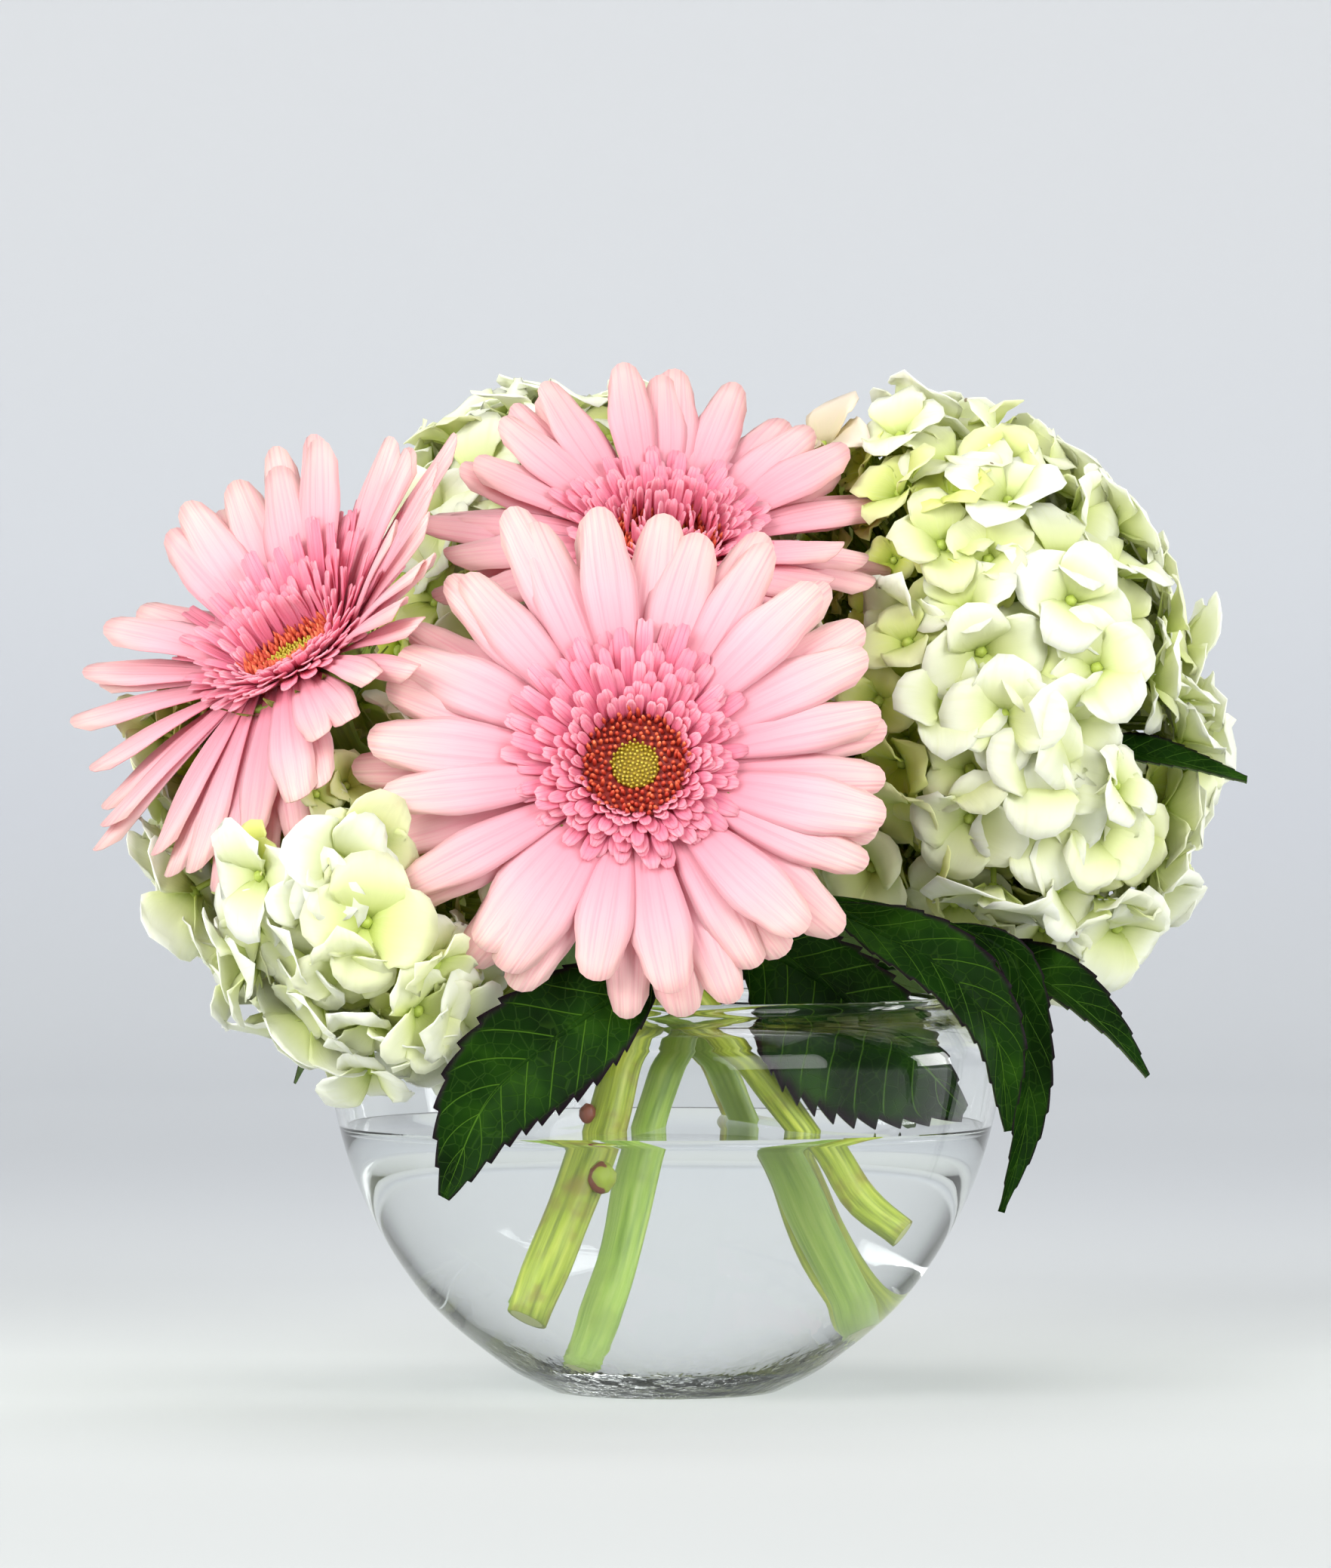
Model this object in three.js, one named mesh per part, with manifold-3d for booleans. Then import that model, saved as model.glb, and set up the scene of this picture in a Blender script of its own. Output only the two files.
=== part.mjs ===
import * as THREE from "three";
import Module from "manifold-3d";
import { mergeVertices } from "three/addons/utils/BufferGeometryUtils.js";

// Floral table centerpiece: three gerberas, three hydrangea heads and serrated
// hydrangea leaves, their stems standing in the water of a low round glass bowl.
// Millimetres, +Z up, -Y towards the viewer, origin in the middle of the bowl's foot.

const wasm = await Module();
wasm.setup();

// Clearance left between pieces that touch
const GAP = 0.3;

// Glass bowl and its water
const WALL = 2.5;
const BASE_GLASS = 6.5;
const ROUND_SIDES = 28;
const MOUTH_RADIUS = 61;
const BELLY_RADIUS = 76.4;
const BELLY_HEIGHT = 73;
const RIM_HEIGHT = 87;
const FOOT_RADIUS = 26;
const WATER_LEVEL = 60;

// Stems and leaves
const GERBERA_STEM = 3.2;
const HYDRANGEA_STEM = 3.8;
const LEAF_THICKNESS = 0.8;
const STALK_HALF = 1.3;
const STALK_SEAT = 0.8;

// Gerbera bloom, heights measured from the top of its receptacle
const RAY_COUNT = 32;
const FLORET_COUNT = 26;
const RAY_THICKNESS = 0.8;
const EYE_RADIUS = 6;
const RING_OUTER = 10.8;
const FLORET_HUB_OUTER = 15;
const RAY_HUB_OUTER = 20.5;
const HUB_BOTTOM = -3;
const CUP_DEPTH = 17;

// Hydrangea floret
const FLORET_RADIUS = 16;
const CORE_DEPTH = 10.5;
const HEAD_ROOM = 10;

const vec = (x, y, z) => new THREE.Vector3(x, y, z);

// Numbers from 0 to 1 in the same order on every run
function seeded(seed) {
  let state = seed;
  return () => {
    state = (state * 1664525 + 1013904223) % 4294967296;
    return state / 4294967296;
  };
}

function signedVolume(position, index) {
  const [a, b, c] = [vec(), vec(), vec()];
  let sum = 0;
  for (let i = 0; i < index.length; i += 3) {
    a.fromBufferAttribute(position, index[i]);
    b.fromBufferAttribute(position, index[i + 1]);
    c.fromBufferAttribute(position, index[i + 2]);
    sum += a.dot(b.cross(c)) / 6;
  }
  return sum;
}

// A closed geometry as a solid whose faces point out
function toSolid(geometry) {
  const bare = geometry.clone();
  bare.deleteAttribute("normal");
  bare.deleteAttribute("uv");
  const welded = mergeVertices(bare, 1e-4);
  const index = Uint32Array.from(welded.index.array);
  if (signedVolume(welded.attributes.position, index) < 0) {
    for (let i = 0; i < index.length; i += 3) {
      [index[i + 1], index[i + 2]] = [index[i + 2], index[i + 1]];
    }
  }
  const vertProperties = Float32Array.from(welded.attributes.position.array);
  return new wasm.Manifold(new wasm.Mesh({ numProp: 3, vertProperties, triVerts: index }));
}

// A solid as a geometry of its largest shell: loose scraps and sealed hollows go
function toGeometry(solid) {
  const mesh = solid.getMesh();
  const geometry = new THREE.BufferGeometry();
  const positions = Float32Array.from(mesh.vertProperties);
  geometry.setAttribute("position", new THREE.BufferAttribute(positions, mesh.numProp));
  geometry.setIndex(new THREE.BufferAttribute(Uint32Array.from(mesh.triVerts), 1));
  const welded = mergeVertices(geometry, 1e-4);
  const index = welded.index.array;
  const parent = Array.from({ length: welded.attributes.position.count }, (_, i) => i);
  const find = (i) => {
    while (parent[i] !== i) {
      parent[i] = parent[parent[i]];
      i = parent[i];
    }
    return i;
  };
  for (let i = 0; i < index.length; i += 3) {
    parent[find(index[i])] = find(index[i + 1]);
    parent[find(index[i + 1])] = find(index[i + 2]);
  }
  const shells = new Map();
  for (let i = 0; i < index.length; i += 3) {
    const key = find(index[i]);
    if (!shells.has(key)) shells.set(key, []);
    shells.get(key).push(index[i], index[i + 1], index[i + 2]);
  }
  const volume = (shell) => signedVolume(welded.attributes.position, shell);
  const largest = [...shells.values()].sort((a, b) => volume(b) - volume(a))[0];
  welded.setIndex(largest);
  return welded;
}

function fuse(solids) {
  let level = solids;
  while (level.length > 1) {
    const next = [];
    for (let i = 0; i < level.length; i += 2) {
      next.push(i + 1 < level.length ? level[i].add(level[i + 1]) : level[i]);
    }
    level = next;
  }
  return level[0];
}

function touches(solid, others) {
  return others.some((other) => !solid.intersect(other).isEmpty());
}

// Revolved about +Z from [radius, height] pairs
function revolve(profile, sides) {
  const geometry = new THREE.LatheGeometry(profile.map(([r, z]) => new THREE.Vector2(r, z)), sides);
  return geometry.rotateX(Math.PI / 2);
}

function tube(points, radius, sides, steps) {
  const corners = Array.from({ length: sides }, (_, i) => {
    const angle = (2 * Math.PI * i) / sides;
    return new THREE.Vector2(radius * Math.cos(angle), radius * Math.sin(angle));
  });
  const extrudePath = new THREE.CatmullRomCurve3(points);
  return new THREE.ExtrudeGeometry(new THREE.Shape(corners), { extrudePath, steps, bevelEnabled: false });
}

// A thin closed blade through rows of points, half its thickness on either side
function blade(rows, lifts) {
  const across = rows[0].length;
  const positions = [];
  for (const side of [1, -1]) {
    rows.forEach((row, i) => row.forEach((p) => {
      positions.push(...p.clone().addScaledVector(lifts[i], side).toArray());
    }));
  }
  const under = rows.length * across;
  const last = rows.length - 1;
  const at = (i, j) => i * across + j;
  const faces = [];
  for (let i = 0; i < last; i++) {
    for (let j = 0; j < across - 1; j++) {
      const [a, b, c, d] = [at(i, j), at(i, j + 1), at(i + 1, j + 1), at(i + 1, j)];
      faces.push(a, b, c, a, c, d);
      faces.push(under + a, under + c, under + b, under + a, under + d, under + c);
    }
  }
  const border = [];
  for (let j = 0; j < across; j++) border.push(at(0, j));
  for (let i = 1; i <= last; i++) border.push(at(i, across - 1));
  for (let j = across - 2; j >= 0; j--) border.push(at(last, j));
  for (let i = last - 1; i > 0; i--) border.push(at(i, 0));
  border.forEach((p, k) => {
    const q = border[(k + 1) % border.length];
    faces.push(p, under + p, under + q, p, under + q, q);
  });
  const geometry = new THREE.BufferGeometry();
  geometry.setAttribute("position", new THREE.Float32BufferAttribute(positions, 3));
  geometry.setIndex(faces);
  return geometry;
}

const centerpiece = new THREE.Group();

function addNode(parent, name, geometry, finish) {
  const mesh = new THREE.Mesh(geometry, new THREE.MeshStandardMaterial(finish));
  mesh.name = name;
  parent.add(mesh);
  return mesh;
}

// Bowl: the outside runs from the foot over the belly to the shoulder
const outside = new THREE.SplineCurve([
  new THREE.Vector2(FOOT_RADIUS, 0),
  new THREE.Vector2(37.6, 6.5),
  new THREE.Vector2(55.2, 22),
  new THREE.Vector2(69.5, 46),
  new THREE.Vector2(BELLY_RADIUS, BELLY_HEIGHT),
  new THREE.Vector2(72.8, 82.5),
  new THREE.Vector2(MOUTH_RADIUS + 3, RIM_HEIGHT),
]);

// The same profile moved in by a distance, cut off at a floor and a top height. Its
// corners lie on the same normals at any distance, so two such walls stay parallel
function insideProfile(distance, floor, top) {
  const steps = 9;
  const points = [];
  for (let i = 0; i <= steps; i++) {
    const p = outside.getPoint(i / steps);
    const t = outside.getTangent(i / steps);
    points.push([p.x - distance * t.y, p.y + distance * t.x]);
  }
  const cut = (z) => {
    const k = points.findIndex((p) => p[1] > z);
    const share = (z - points[k - 1][1]) / (points[k][1] - points[k - 1][1]);
    return [points[k - 1][0] + share * (points[k][0] - points[k - 1][0]), z];
  };
  return [[0, floor], cut(floor), ...points.filter((p) => p[1] > floor && p[1] < top), cut(top)];
}

function bowlGeometry() {
  const outer = outside.getPoints(9).map((p) => [p.x, p.y]);
  const inner = insideProfile(WALL, BASE_GLASS, RIM_HEIGHT - WALL - 0.8);
  const lip = [
    [MOUTH_RADIUS + 2.6, RIM_HEIGHT + 1.8],
    [MOUTH_RADIUS + 0.6, RIM_HEIGHT + 2],
    [MOUTH_RADIUS, RIM_HEIGHT],
  ];
  return revolve([[0, 0], ...outer, ...lip, ...inner.reverse()], ROUND_SIDES);
}

function waterGeometry(stemHoles) {
  const profile = insideProfile(WALL + GAP, BASE_GLASS + GAP, WATER_LEVEL);
  const water = toSolid(revolve([...profile, [0, WATER_LEVEL]], ROUND_SIDES));
  return toGeometry(water.subtract(fuse(stemHoles)));
}

// Each stem runs from its cut end in the water up to its bloom
const STEMS = {
  hydrangea_right: {
    radius: HYDRANGEA_STEM + 0.2,
    points: [vec(-29, -33, 21.5), vec(-21, -31.5, 40.5), vec(-13.5, -28.5, 60), vec(-6.7, -24, 85.5),
      vec(3, -22, 106), vec(20, -14, 122), vec(42, 0, 137), vec(62, 14, 149)],
  },
  gerbera_front: {
    radius: GERBERA_STEM,
    points: [vec(-17.1, -15, 12.6), vec(-9.2, -14, 36), vec(-4.1, -11, 59), vec(3.9, -8, 85.2),
      vec(5, -6.5, 104), vec(3, -14, 121), vec(-3, -34, 131), vec(-6.5, -56.9, 135.3)],
  },
  hydrangea_left: {
    radius: HYDRANGEA_STEM - 0.4,
    points: [vec(48.3, -25, 40), vec(37.5, -26, 49), vec(30.5, -27, 60), vec(9.7, -31, 85.8),
      vec(-4, -36, 100), vec(-25, -38, 107), vec(-44, -38, 108.5), vec(-61, -38, 109)],
  },
  gerbera_left: {
    radius: GERBERA_STEM + 0.2,
    points: [vec(30, 22, 30), vec(26.4, 21, 39.4), vec(18.5, 20, 58.8), vec(9.2, 18, 79.7),
      vec(3, 13, 95), vec(-14, 4, 113), vec(-38, -4, 130), vec(-58, -18, 140)],
  },
  gerbera_back: {
    radius: GERBERA_STEM,
    points: [vec(-22.5, 12, 31.5), vec(-16.9, 12, 45), vec(-13, 12, 60), vec(-6.9, 13, 84),
      vec(-8, 19, 102), vec(-7, 22, 124), vec(-4, 14, 150)],
  },
  hydrangea_back: {
    radius: HYDRANGEA_STEM,
    points: [vec(27, 40, 33), vec(23.1, 42, 42), vec(17, 42, 60.4), vec(9.3, 42, 78.8),
      vec(2, 44, 105), vec(-9, 50, 135), vec(-18, 56, 160)],
  },
};

// Gerbera blooms: centre, the way each disc faces, and how its rays spread. The rays
// rise on the side that they lean toward and hang on the other
const GERBERAS = {
  gerbera_front: {
    centre: vec(-6.5, -75, 141), facing: vec(0, -0.954, 0.3),
    reach: 55, cup: 0.12, sag: 0.16, lean: 0, toward: vec(0, 0, 1),
  },
  gerbera_back: {
    centre: vec(0.3, -14, 192), facing: vec(0.1, -0.62, 0.78),
    reach: 53, cup: 0.22, sag: 0.14, lean: 0.2, toward: vec(-0.2, 1, 0.2),
  },
  gerbera_left: {
    centre: vec(-82, -42, 165.5), facing: vec(-0.477, -0.3, 0.826),
    reach: 58, cup: 0.16, sag: 0.14, lean: 0.72, toward: vec(0.35, 1, 0.2),
  },
};

function bloomFrame({ centre, facing }) {
  const w = facing.clone().normalize();
  const u = vec(0, 0, 1).cross(w).normalize();
  const v = w.clone().cross(u);
  return new THREE.Matrix4().makeBasis(u, v, w).setPosition(centre);
}

// The stem meets the bloom straight on, behind its cup
function bloomStemPoints(name) {
  const { centre, facing } = GERBERAS[name];
  const w = facing.clone().normalize();
  const seat = centre.clone().addScaledVector(w, -CUP_DEPTH);
  const before = centre.clone().addScaledVector(w, -CUP_DEPTH - 10);
  const free = STEMS[name].points.filter((p) => p.distanceTo(seat) > 14);
  return [...free, before, seat];
}

function stemSolid(name, extra) {
  const { radius, points } = STEMS[name];
  const route = name in GERBERAS ? bloomStemPoints(name) : points;
  return toSolid(tube(route, radius + extra, 7, 11));
}

// A leaf scar and a small bud on the thick stem at the left
function scarSolids(extra) {
  return [
    [vec(-12.4, -32.5, 53.5), vec(3.4, 2.8, 4.4)],
    [vec(-17.6, -30.5, 65), vec(2.6, 1.9, 3)],
  ].map(([centre, size]) => {
    const knob = new THREE.IcosahedronGeometry(1, 1);
    knob.scale(size.x + extra, size.y + extra, size.z + extra);
    return toSolid(knob.translate(centre.x, centre.y, centre.z));
  });
}

function cupSolid(frame, extra) {
  const top = HUB_BOTTOM - GAP;
  const cup = revolve([
    [0, -CUP_DEPTH - extra],
    [GERBERA_STEM + 1.5 + extra, -CUP_DEPTH - extra],
    [11 + extra, -11.5 - extra],
    [16.5 + extra, -6.5],
    [17.5 + extra, top],
    [0, top],
  ], 10);
  return toSolid(cup.applyMatrix4(frame));
}

// A gerbera ray or floret as rows of edge points from its root to its blunt tip
function stripRows({ angle, start, length, width, base, cup, sag, twist, shares, widths }) {
  const out = vec(Math.cos(angle), Math.sin(angle), 0);
  const side = vec(-Math.sin(angle), Math.cos(angle), 0);
  const rows = [];
  const lifts = [];
  shares.forEach((s, i) => {
    const middle = out.clone().multiplyScalar(start + s * length);
    middle.z = base + length * (cup * s - sag * s * s);
    const edge = side.clone().multiplyScalar((width * widths[i]) / 2);
    edge.z = twist * s * edge.length();
    rows.push([middle.clone().sub(edge), middle.clone().add(edge)]);
    const along = out.clone().setZ(cup - 2 * sag * s);
    lifts.push(side.clone().cross(along).normalize().multiplyScalar(-RAY_THICKNESS / 2));
  });
  return { rows, lifts };
}

// One layer of a bloom: strips that grow out of a common ring, as one closed sheet
function corolla(strips, inner, bottom, top) {
  const points = [];
  const faces = [];
  const levels = strips[0].shares.length + 1;
  const at = (strip, level, side, under) => (
    (((strip + strips.length) % strips.length) * levels + level) * 4 + side * 2 + under
  );
  const quad = (a, b, c, d) => faces.push(a, b, c, a, c, d);
  strips.forEach((strip) => {
    const { rows, lifts } = stripRows(strip);
    rows[0].forEach((p) => {
      const angle = Math.atan2(p.y, p.x);
      points.push(vec(inner * Math.cos(angle), inner * Math.sin(angle), top));
      points.push(vec(inner * Math.cos(angle), inner * Math.sin(angle), bottom));
    });
    rows.forEach((row, i) => row.forEach((p) => {
      points.push(p.clone().add(lifts[i]), p.clone().sub(lifts[i]));
    }));
  });
  strips.forEach((strip, k) => {
    for (let level = 0; level < levels - 1; level++) {
      const near = [at(k, level, 0, 0), at(k, level, 1, 0)];
      const far = [at(k, level + 1, 0, 0), at(k, level + 1, 1, 0)];
      quad(near[0], far[0], far[1], near[1]);
      faces.push(near[0] + 1, far[1] + 1, far[0] + 1, near[0] + 1, near[1] + 1, far[1] + 1);
      if (level > 0) {
        quad(near[0], near[0] + 1, far[0] + 1, far[0]);
        quad(far[1], far[1] + 1, near[1] + 1, near[1]);
      }
    }
    const tip = [at(k, levels - 1, 0, 0), at(k, levels - 1, 1, 0)];
    quad(tip[0], tip[0] + 1, tip[1] + 1, tip[1]);
    const [a, b] = [at(k, 0, 1, 0), at(k + 1, 0, 0, 0)];
    const [c, d] = [at(k, 1, 1, 0), at(k + 1, 1, 0, 0)];
    quad(a, c, d, b);
    faces.push(a + 1, d + 1, c + 1, a + 1, b + 1, d + 1);
    quad(c, c + 1, d + 1, d);
    quad(b, b + 1, a + 1, a);
    const own = [at(k, 0, 0, 0), at(k, 0, 1, 0)];
    quad(own[1], own[1] + 1, own[0] + 1, own[0]);
  });
  const geometry = new THREE.BufferGeometry().setFromPoints(points);
  geometry.setIndex(faces);
  return toSolid(geometry);
}

function ringHub(inner, outer, bottom, top, sides) {
  return revolve([[inner, bottom], [outer, bottom], [outer, top], [inner, top], [inner, bottom]], sides);
}

// Rays alternate between a lower and an upper layer. A ray that meets a neighbouring
// bloom is drawn shorter and steeper
function rayGeometry(bloom, frame, neighbours) {
  const draw = seeded(bloom.seed);
  const rising = bloom.toward.clone().transformDirection(frame.clone().invert());
  const risingTurn = Math.atan2(rising.y, rising.x);
  const shapes = Array.from({ length: RAY_COUNT }, (_, i) => {
    const upper = i % 2;
    const shape = {
      angle: (2 * Math.PI * (i + 0.4 * (draw() - 0.5))) / RAY_COUNT,
      start: RAY_HUB_OUTER,
      length: (bloom.reach - RAY_HUB_OUTER) * (upper ? 0.93 : 1) * (0.94 + 0.1 * draw()),
      width: 11.4 + 1.2 * draw(),
      base: upper ? -0.9 : -2.5,
      cup: bloom.cup + (upper ? 0.14 : 0) + 0.05 * (draw() - 0.5),
      sag: bloom.sag,
      twist: 0.2 * (draw() - 0.5),
      shares: [0, 0.68, 1],
      widths: [0.28, 1, 0.5],
    };
    shape.cup += bloom.lean * Math.cos(shape.angle - risingTurn);
    shape.length /= Math.hypot(1, shape.cup - bloom.sag);
    for (let attempt = 0; attempt < 5; attempt++) {
      const { rows, lifts } = stripRows(shape);
      if (!touches(toSolid(blade(rows, lifts).applyMatrix4(frame)), neighbours)) break;
      shape.length *= 0.8;
      shape.cup += 0.2;
    }
    return shape;
  });
  return toGeometry(corolla(shapes, FLORET_HUB_OUTER + GAP, HUB_BOTTOM, -0.5));
}

// Short deep-pink florets, one leaning out and the next standing up
function floretGeometry(bloom) {
  const draw = seeded(bloom.seed + 7);
  const shapes = Array.from({ length: FLORET_COUNT }, (_, i) => ({
    angle: (2 * Math.PI * (i + 0.3 * (draw() - 0.5))) / FLORET_COUNT,
    start: FLORET_HUB_OUTER - 1,
    length: (i % 2 ? 8 : 11) * (0.85 + 0.3 * draw()),
    width: 3.6,
    base: i % 2 ? 1 : 0.4,
    cup: i % 2 ? 0.95 : 0.42,
    sag: 0,
    twist: 0,
    shares: [0, 1],
    widths: [0.66, 1],
  }));
  return toGeometry(corolla(shapes, RING_OUTER + GAP, HUB_BOTTOM, 1.2));
}

// Blunt bumps stand on a ring of the disc
function bump(radius, angle, base, width, height) {
  const cone = new THREE.ConeGeometry(width, height, 4).rotateX(Math.PI / 2);
  cone.translate(radius * Math.cos(angle), radius * Math.sin(angle), base + height / 2);
  return toSolid(cone);
}

function ringGeometry() {
  const solids = [toSolid(ringHub(EYE_RADIUS + GAP, RING_OUTER, HUB_BOTTOM, 0.3, 16))];
  const count = 14;
  for (let i = 0; i < count; i++) {
    solids.push(bump(8.5, (2 * Math.PI * i) / count, -0.4, 1.5, 3.2));
  }
  return toGeometry(fuse(solids));
}

function eyeGeometry() {
  const half = [[0, HUB_BOTTOM], [EYE_RADIUS, HUB_BOTTOM], [EYE_RADIUS, 0.2], [4.2, 0.9], [0, 0.6]];
  const dome = revolve(half, 10);
  const solids = [toSolid(dome)];
  const count = 6;
  for (let i = 0; i < count; i++) {
    solids.push(bump(3.4, (2 * Math.PI * i) / count, 0.1, 1.1, 1.7));
  }
  return toGeometry(fuse(solids));
}

// A leaf on its stalk along one rib: a narrow thick stalk, then a blade toothed on both edges
function leafSolid({ route, bladeFrom, faces, left, right, fold, teeth }, extra) {
  const rib = new THREE.CatmullRomCurve3(route);
  const stalkRows = 4;
  const bladeRows = teeth * 2 + 1;
  const rows = [];
  const lifts = [];
  for (let i = -stalkRows; i <= bladeRows; i++) {
    const share = i / bladeRows;
    const t = i < 0 ? bladeFrom * (1 + i / stalkRows) : bladeFrom + (1 - bladeFrom) * share;
    const middle = rib.getPointAt(t);
    const along = rib.getTangentAt(t);
    const side = along.clone().cross(faces).normalize();
    const up = side.clone().cross(along).normalize();
    const belly = i < 0 ? 0 : Math.sin(Math.PI * Math.pow(share * 0.97, 0.82));
    const tooth = i % 2 ? 1 : 0.84;
    const swing = 0.06 * Math.sin(share * 9);
    const edge = (direction, width) => {
      const half = Math.max(width * belly * tooth, i < 0 ? STALK_HALF : 0.8);
      return middle.clone()
        .addScaledVector(side, direction * (half * Math.cos(fold) + extra))
        .addScaledVector(up, width * belly * (Math.sin(fold) + swing))
        .addScaledVector(along, i > 0 && i % 2 ? width * 0.12 : 0);
    };
    rows.push([edge(-1, left), middle, edge(1, right)]);
    lifts.push(up.multiplyScalar((i < 0 ? STALK_HALF * 0.8 : LEAF_THICKNESS / 2) + extra));
  }
  return toSolid(blade(rows, lifts));
}

// The point of a stem's side at a height, where a leaf stalk that heads for a target starts
function seat(name, height, target) {
  const { radius, points } = STEMS[name];
  const curve = new THREE.CatmullRomCurve3(points);
  const t = curve.getPoints(200).findIndex((p) => p.z > height) / 200;
  const from = curve.getPoint(t);
  const along = curve.getTangent(t);
  const away = target.clone().sub(from);
  away.addScaledVector(along, -away.dot(along)).normalize();
  return from.addScaledVector(away, radius + STALK_SEAT);
}

// A leaf's route from a stem through its points, the first of which is its seat's target
function fromStem(name, height, points) {
  return [seat(name, height, points[0]), ...points];
}

const LEAVES = {
  leaf_front_left: {
    route: fromStem("hydrangea_left", 99, [vec(-1, -58, 98), vec(-5, -72, 95), vec(-18, -78, 86.5),
      vec(-37.5, -80, 70), vec(-47.6, -79, 48.2)]),
    bladeFrom: 0.3, faces: vec(-0.1, -0.95, 0.15), left: 14, right: 14, fold: 0.12, teeth: 6,
  },
  leaf_inside_right: {
    route: fromStem("hydrangea_right", 104, [vec(20, -31, 101), vec(34.4, -31, 93.7), vec(52.4, -25, 79),
      vec(67, -15.5, 64)]),
    bladeFrom: 0.16, faces: vec(0.35, -0.88, 0.3), left: 14, right: 23, fold: -0.25, teeth: 6,
  },
  leaf_right_a: {
    route: fromStem("hydrangea_right", 115, [vec(30, -38, 113), vec(44, -50, 106), vec(62, -54, 95.5),
      vec(72, -53, 82), vec(75, -51, 61)]),
    bladeFrom: 0.3, faces: vec(0.3, -0.9, 0.4), left: 9.5, right: 8.5, fold: 0.3, teeth: 5,
  },
  leaf_right_b: {
    route: fromStem("hydrangea_right", 112, [vec(36, -25, 111), vec(58, -33, 107), vec(76, -34, 99),
      vec(80, -32, 82), vec(80, -31, 62), vec(74.5, -31, 42)]),
    bladeFrom: 0.42, faces: vec(0.2, -0.95, 0.1), left: 6, right: 5.5, fold: 0.5, teeth: 5,
  },
  leaf_right_c: {
    route: fromStem("hydrangea_right", 95, [vec(34, -8, 95), vec(60, -10, 96), vec(84, -14, 93),
      vec(98, -16, 83), vec(108, -17, 71.5)]),
    bladeFrom: 0.5, faces: vec(0.55, -0.55, 0.6), left: 10, right: 10, fold: 0.35, teeth: 5,
  },
  leaf_back_left: {
    route: fromStem("hydrangea_back", 112, [vec(-14, 66, 108), vec(-28, 78, 98), vec(-40, 84, 80),
      vec(-46, 82, 60)]),
    bladeFrom: 0.25, faces: vec(-0.35, 0.85, 0.35), left: 16, right: 16, fold: 0.15, teeth: 5,
  },
  leaf_back_right: {
    route: fromStem("hydrangea_back", 102, [vec(22, 62, 104), vec(40, 70, 98), vec(54, 74, 82),
      vec(60, 72, 62)]),
    bladeFrom: 0.25, faces: vec(0.45, 0.8, 0.35), left: 15, right: 15, fold: 0.15, teeth: 5,
  },
  leaf_left: {
    route: fromStem("hydrangea_left", 105, [vec(-28, -14, 103), vec(-42, 8, 103), vec(-60, 24, 98),
      vec(-77, 32, 84), vec(-86, 36, 68)]),
    bladeFrom: 0.4, faces: vec(-0.7, 0.3, 0.6), left: 14, right: 14, fold: 0.15, teeth: 5,
  },
  leaf_far_right: {
    route: fromStem("hydrangea_right", 145, [vec(78, -6, 146), vec(106, -4, 144), vec(131.6, -2, 138)]),
    bladeFrom: 0.5, faces: vec(0.1, -0.5, 0.85), left: 6.5, right: 6.5, fold: 0.3, teeth: 4,
  },
};

const HEADS = {
  hydrangea_right: { centre: vec(73, 24, 160), size: vec(46, 50, 67), tilt: -0.31, count: 42, seed: 31 },
  hydrangea_left: { centre: vec(-75, -38, 108), size: vec(44, 43, 39), tilt: 0, count: 28, seed: 47 },
  hydrangea_back: { centre: vec(-24, 57, 170), size: vec(46, 46, 57), tilt: 0, count: 31, seed: 83 },
};

// One four-lobed floret as a shallow funnel, its root deep in the head
function floretFunnel(place, outward, roll, radius) {
  const lobes = 4;
  const points = [vec(0, 0, -0.14 * radius), vec(0, 0, -0.85 * radius)];
  const outline = [];
  for (let i = 0; i < lobes * 3; i++) {
    const notch = i % 3 === 0;
    const angle = roll + (2 * Math.PI * (Math.floor(i / 3) + [0, 0.27, 0.73][i % 3])) / lobes;
    const reach = notch ? 0.6 * radius : radius;
    const rise = notch ? -0.12 * radius : 0.04 * radius;
    points.push(vec(reach * Math.cos(angle), reach * Math.sin(angle), rise));
    outline.push(i + 2);
  }
  const faces = [];
  outline.forEach((a, i) => {
    const b = outline[(i + 1) % outline.length];
    faces.push(0, a, b, 1, b, a);
  });
  const geometry = new THREE.BufferGeometry().setFromPoints(points);
  geometry.setIndex(faces);
  const turn = new THREE.Quaternion().setFromUnitVectors(vec(0, 0, 1), outward);
  return geometry.applyQuaternion(turn).translate(place.x, place.y, place.z);
}

// A head is an ellipsoid that leans to one side about the Y axis
function ellipsoid({ centre, size, tilt }, grow, detail) {
  const ball = new THREE.IcosahedronGeometry(1, detail);
  ball.scale(size.x + grow, size.y + grow, size.z + grow).rotateY(tilt);
  return toSolid(ball.translate(centre.x, centre.y, centre.z));
}

// The room that a bloom takes up: its cup, and a plain dish for its leaning rays
function bloomRoom(bloom) {
  const edge = bloom.reach + 5;
  const rise = bloom.reach * 0.7;
  const cup = revolve([[0, -CUP_DEPTH - 2], [7, -CUP_DEPTH - 2], [20, -8], [20, 2], [0, 2]], 8);
  const dish = revolve([[0, -6], [20, -6], [edge, -1], [edge, rise], [0, rise]], 10);
  const facing = bloom.facing.clone().normalize();
  const rising = bloom.toward.clone().addScaledVector(facing, -bloom.toward.dot(facing)).normalize();
  facing.addScaledVector(rising, -bloom.lean).normalize();
  const rays = toSolid(dish.applyMatrix4(bloomFrame({ ...bloom, facing })));
  return toSolid(cup.applyMatrix4(bloomFrame(bloom))).add(rays);
}

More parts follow.
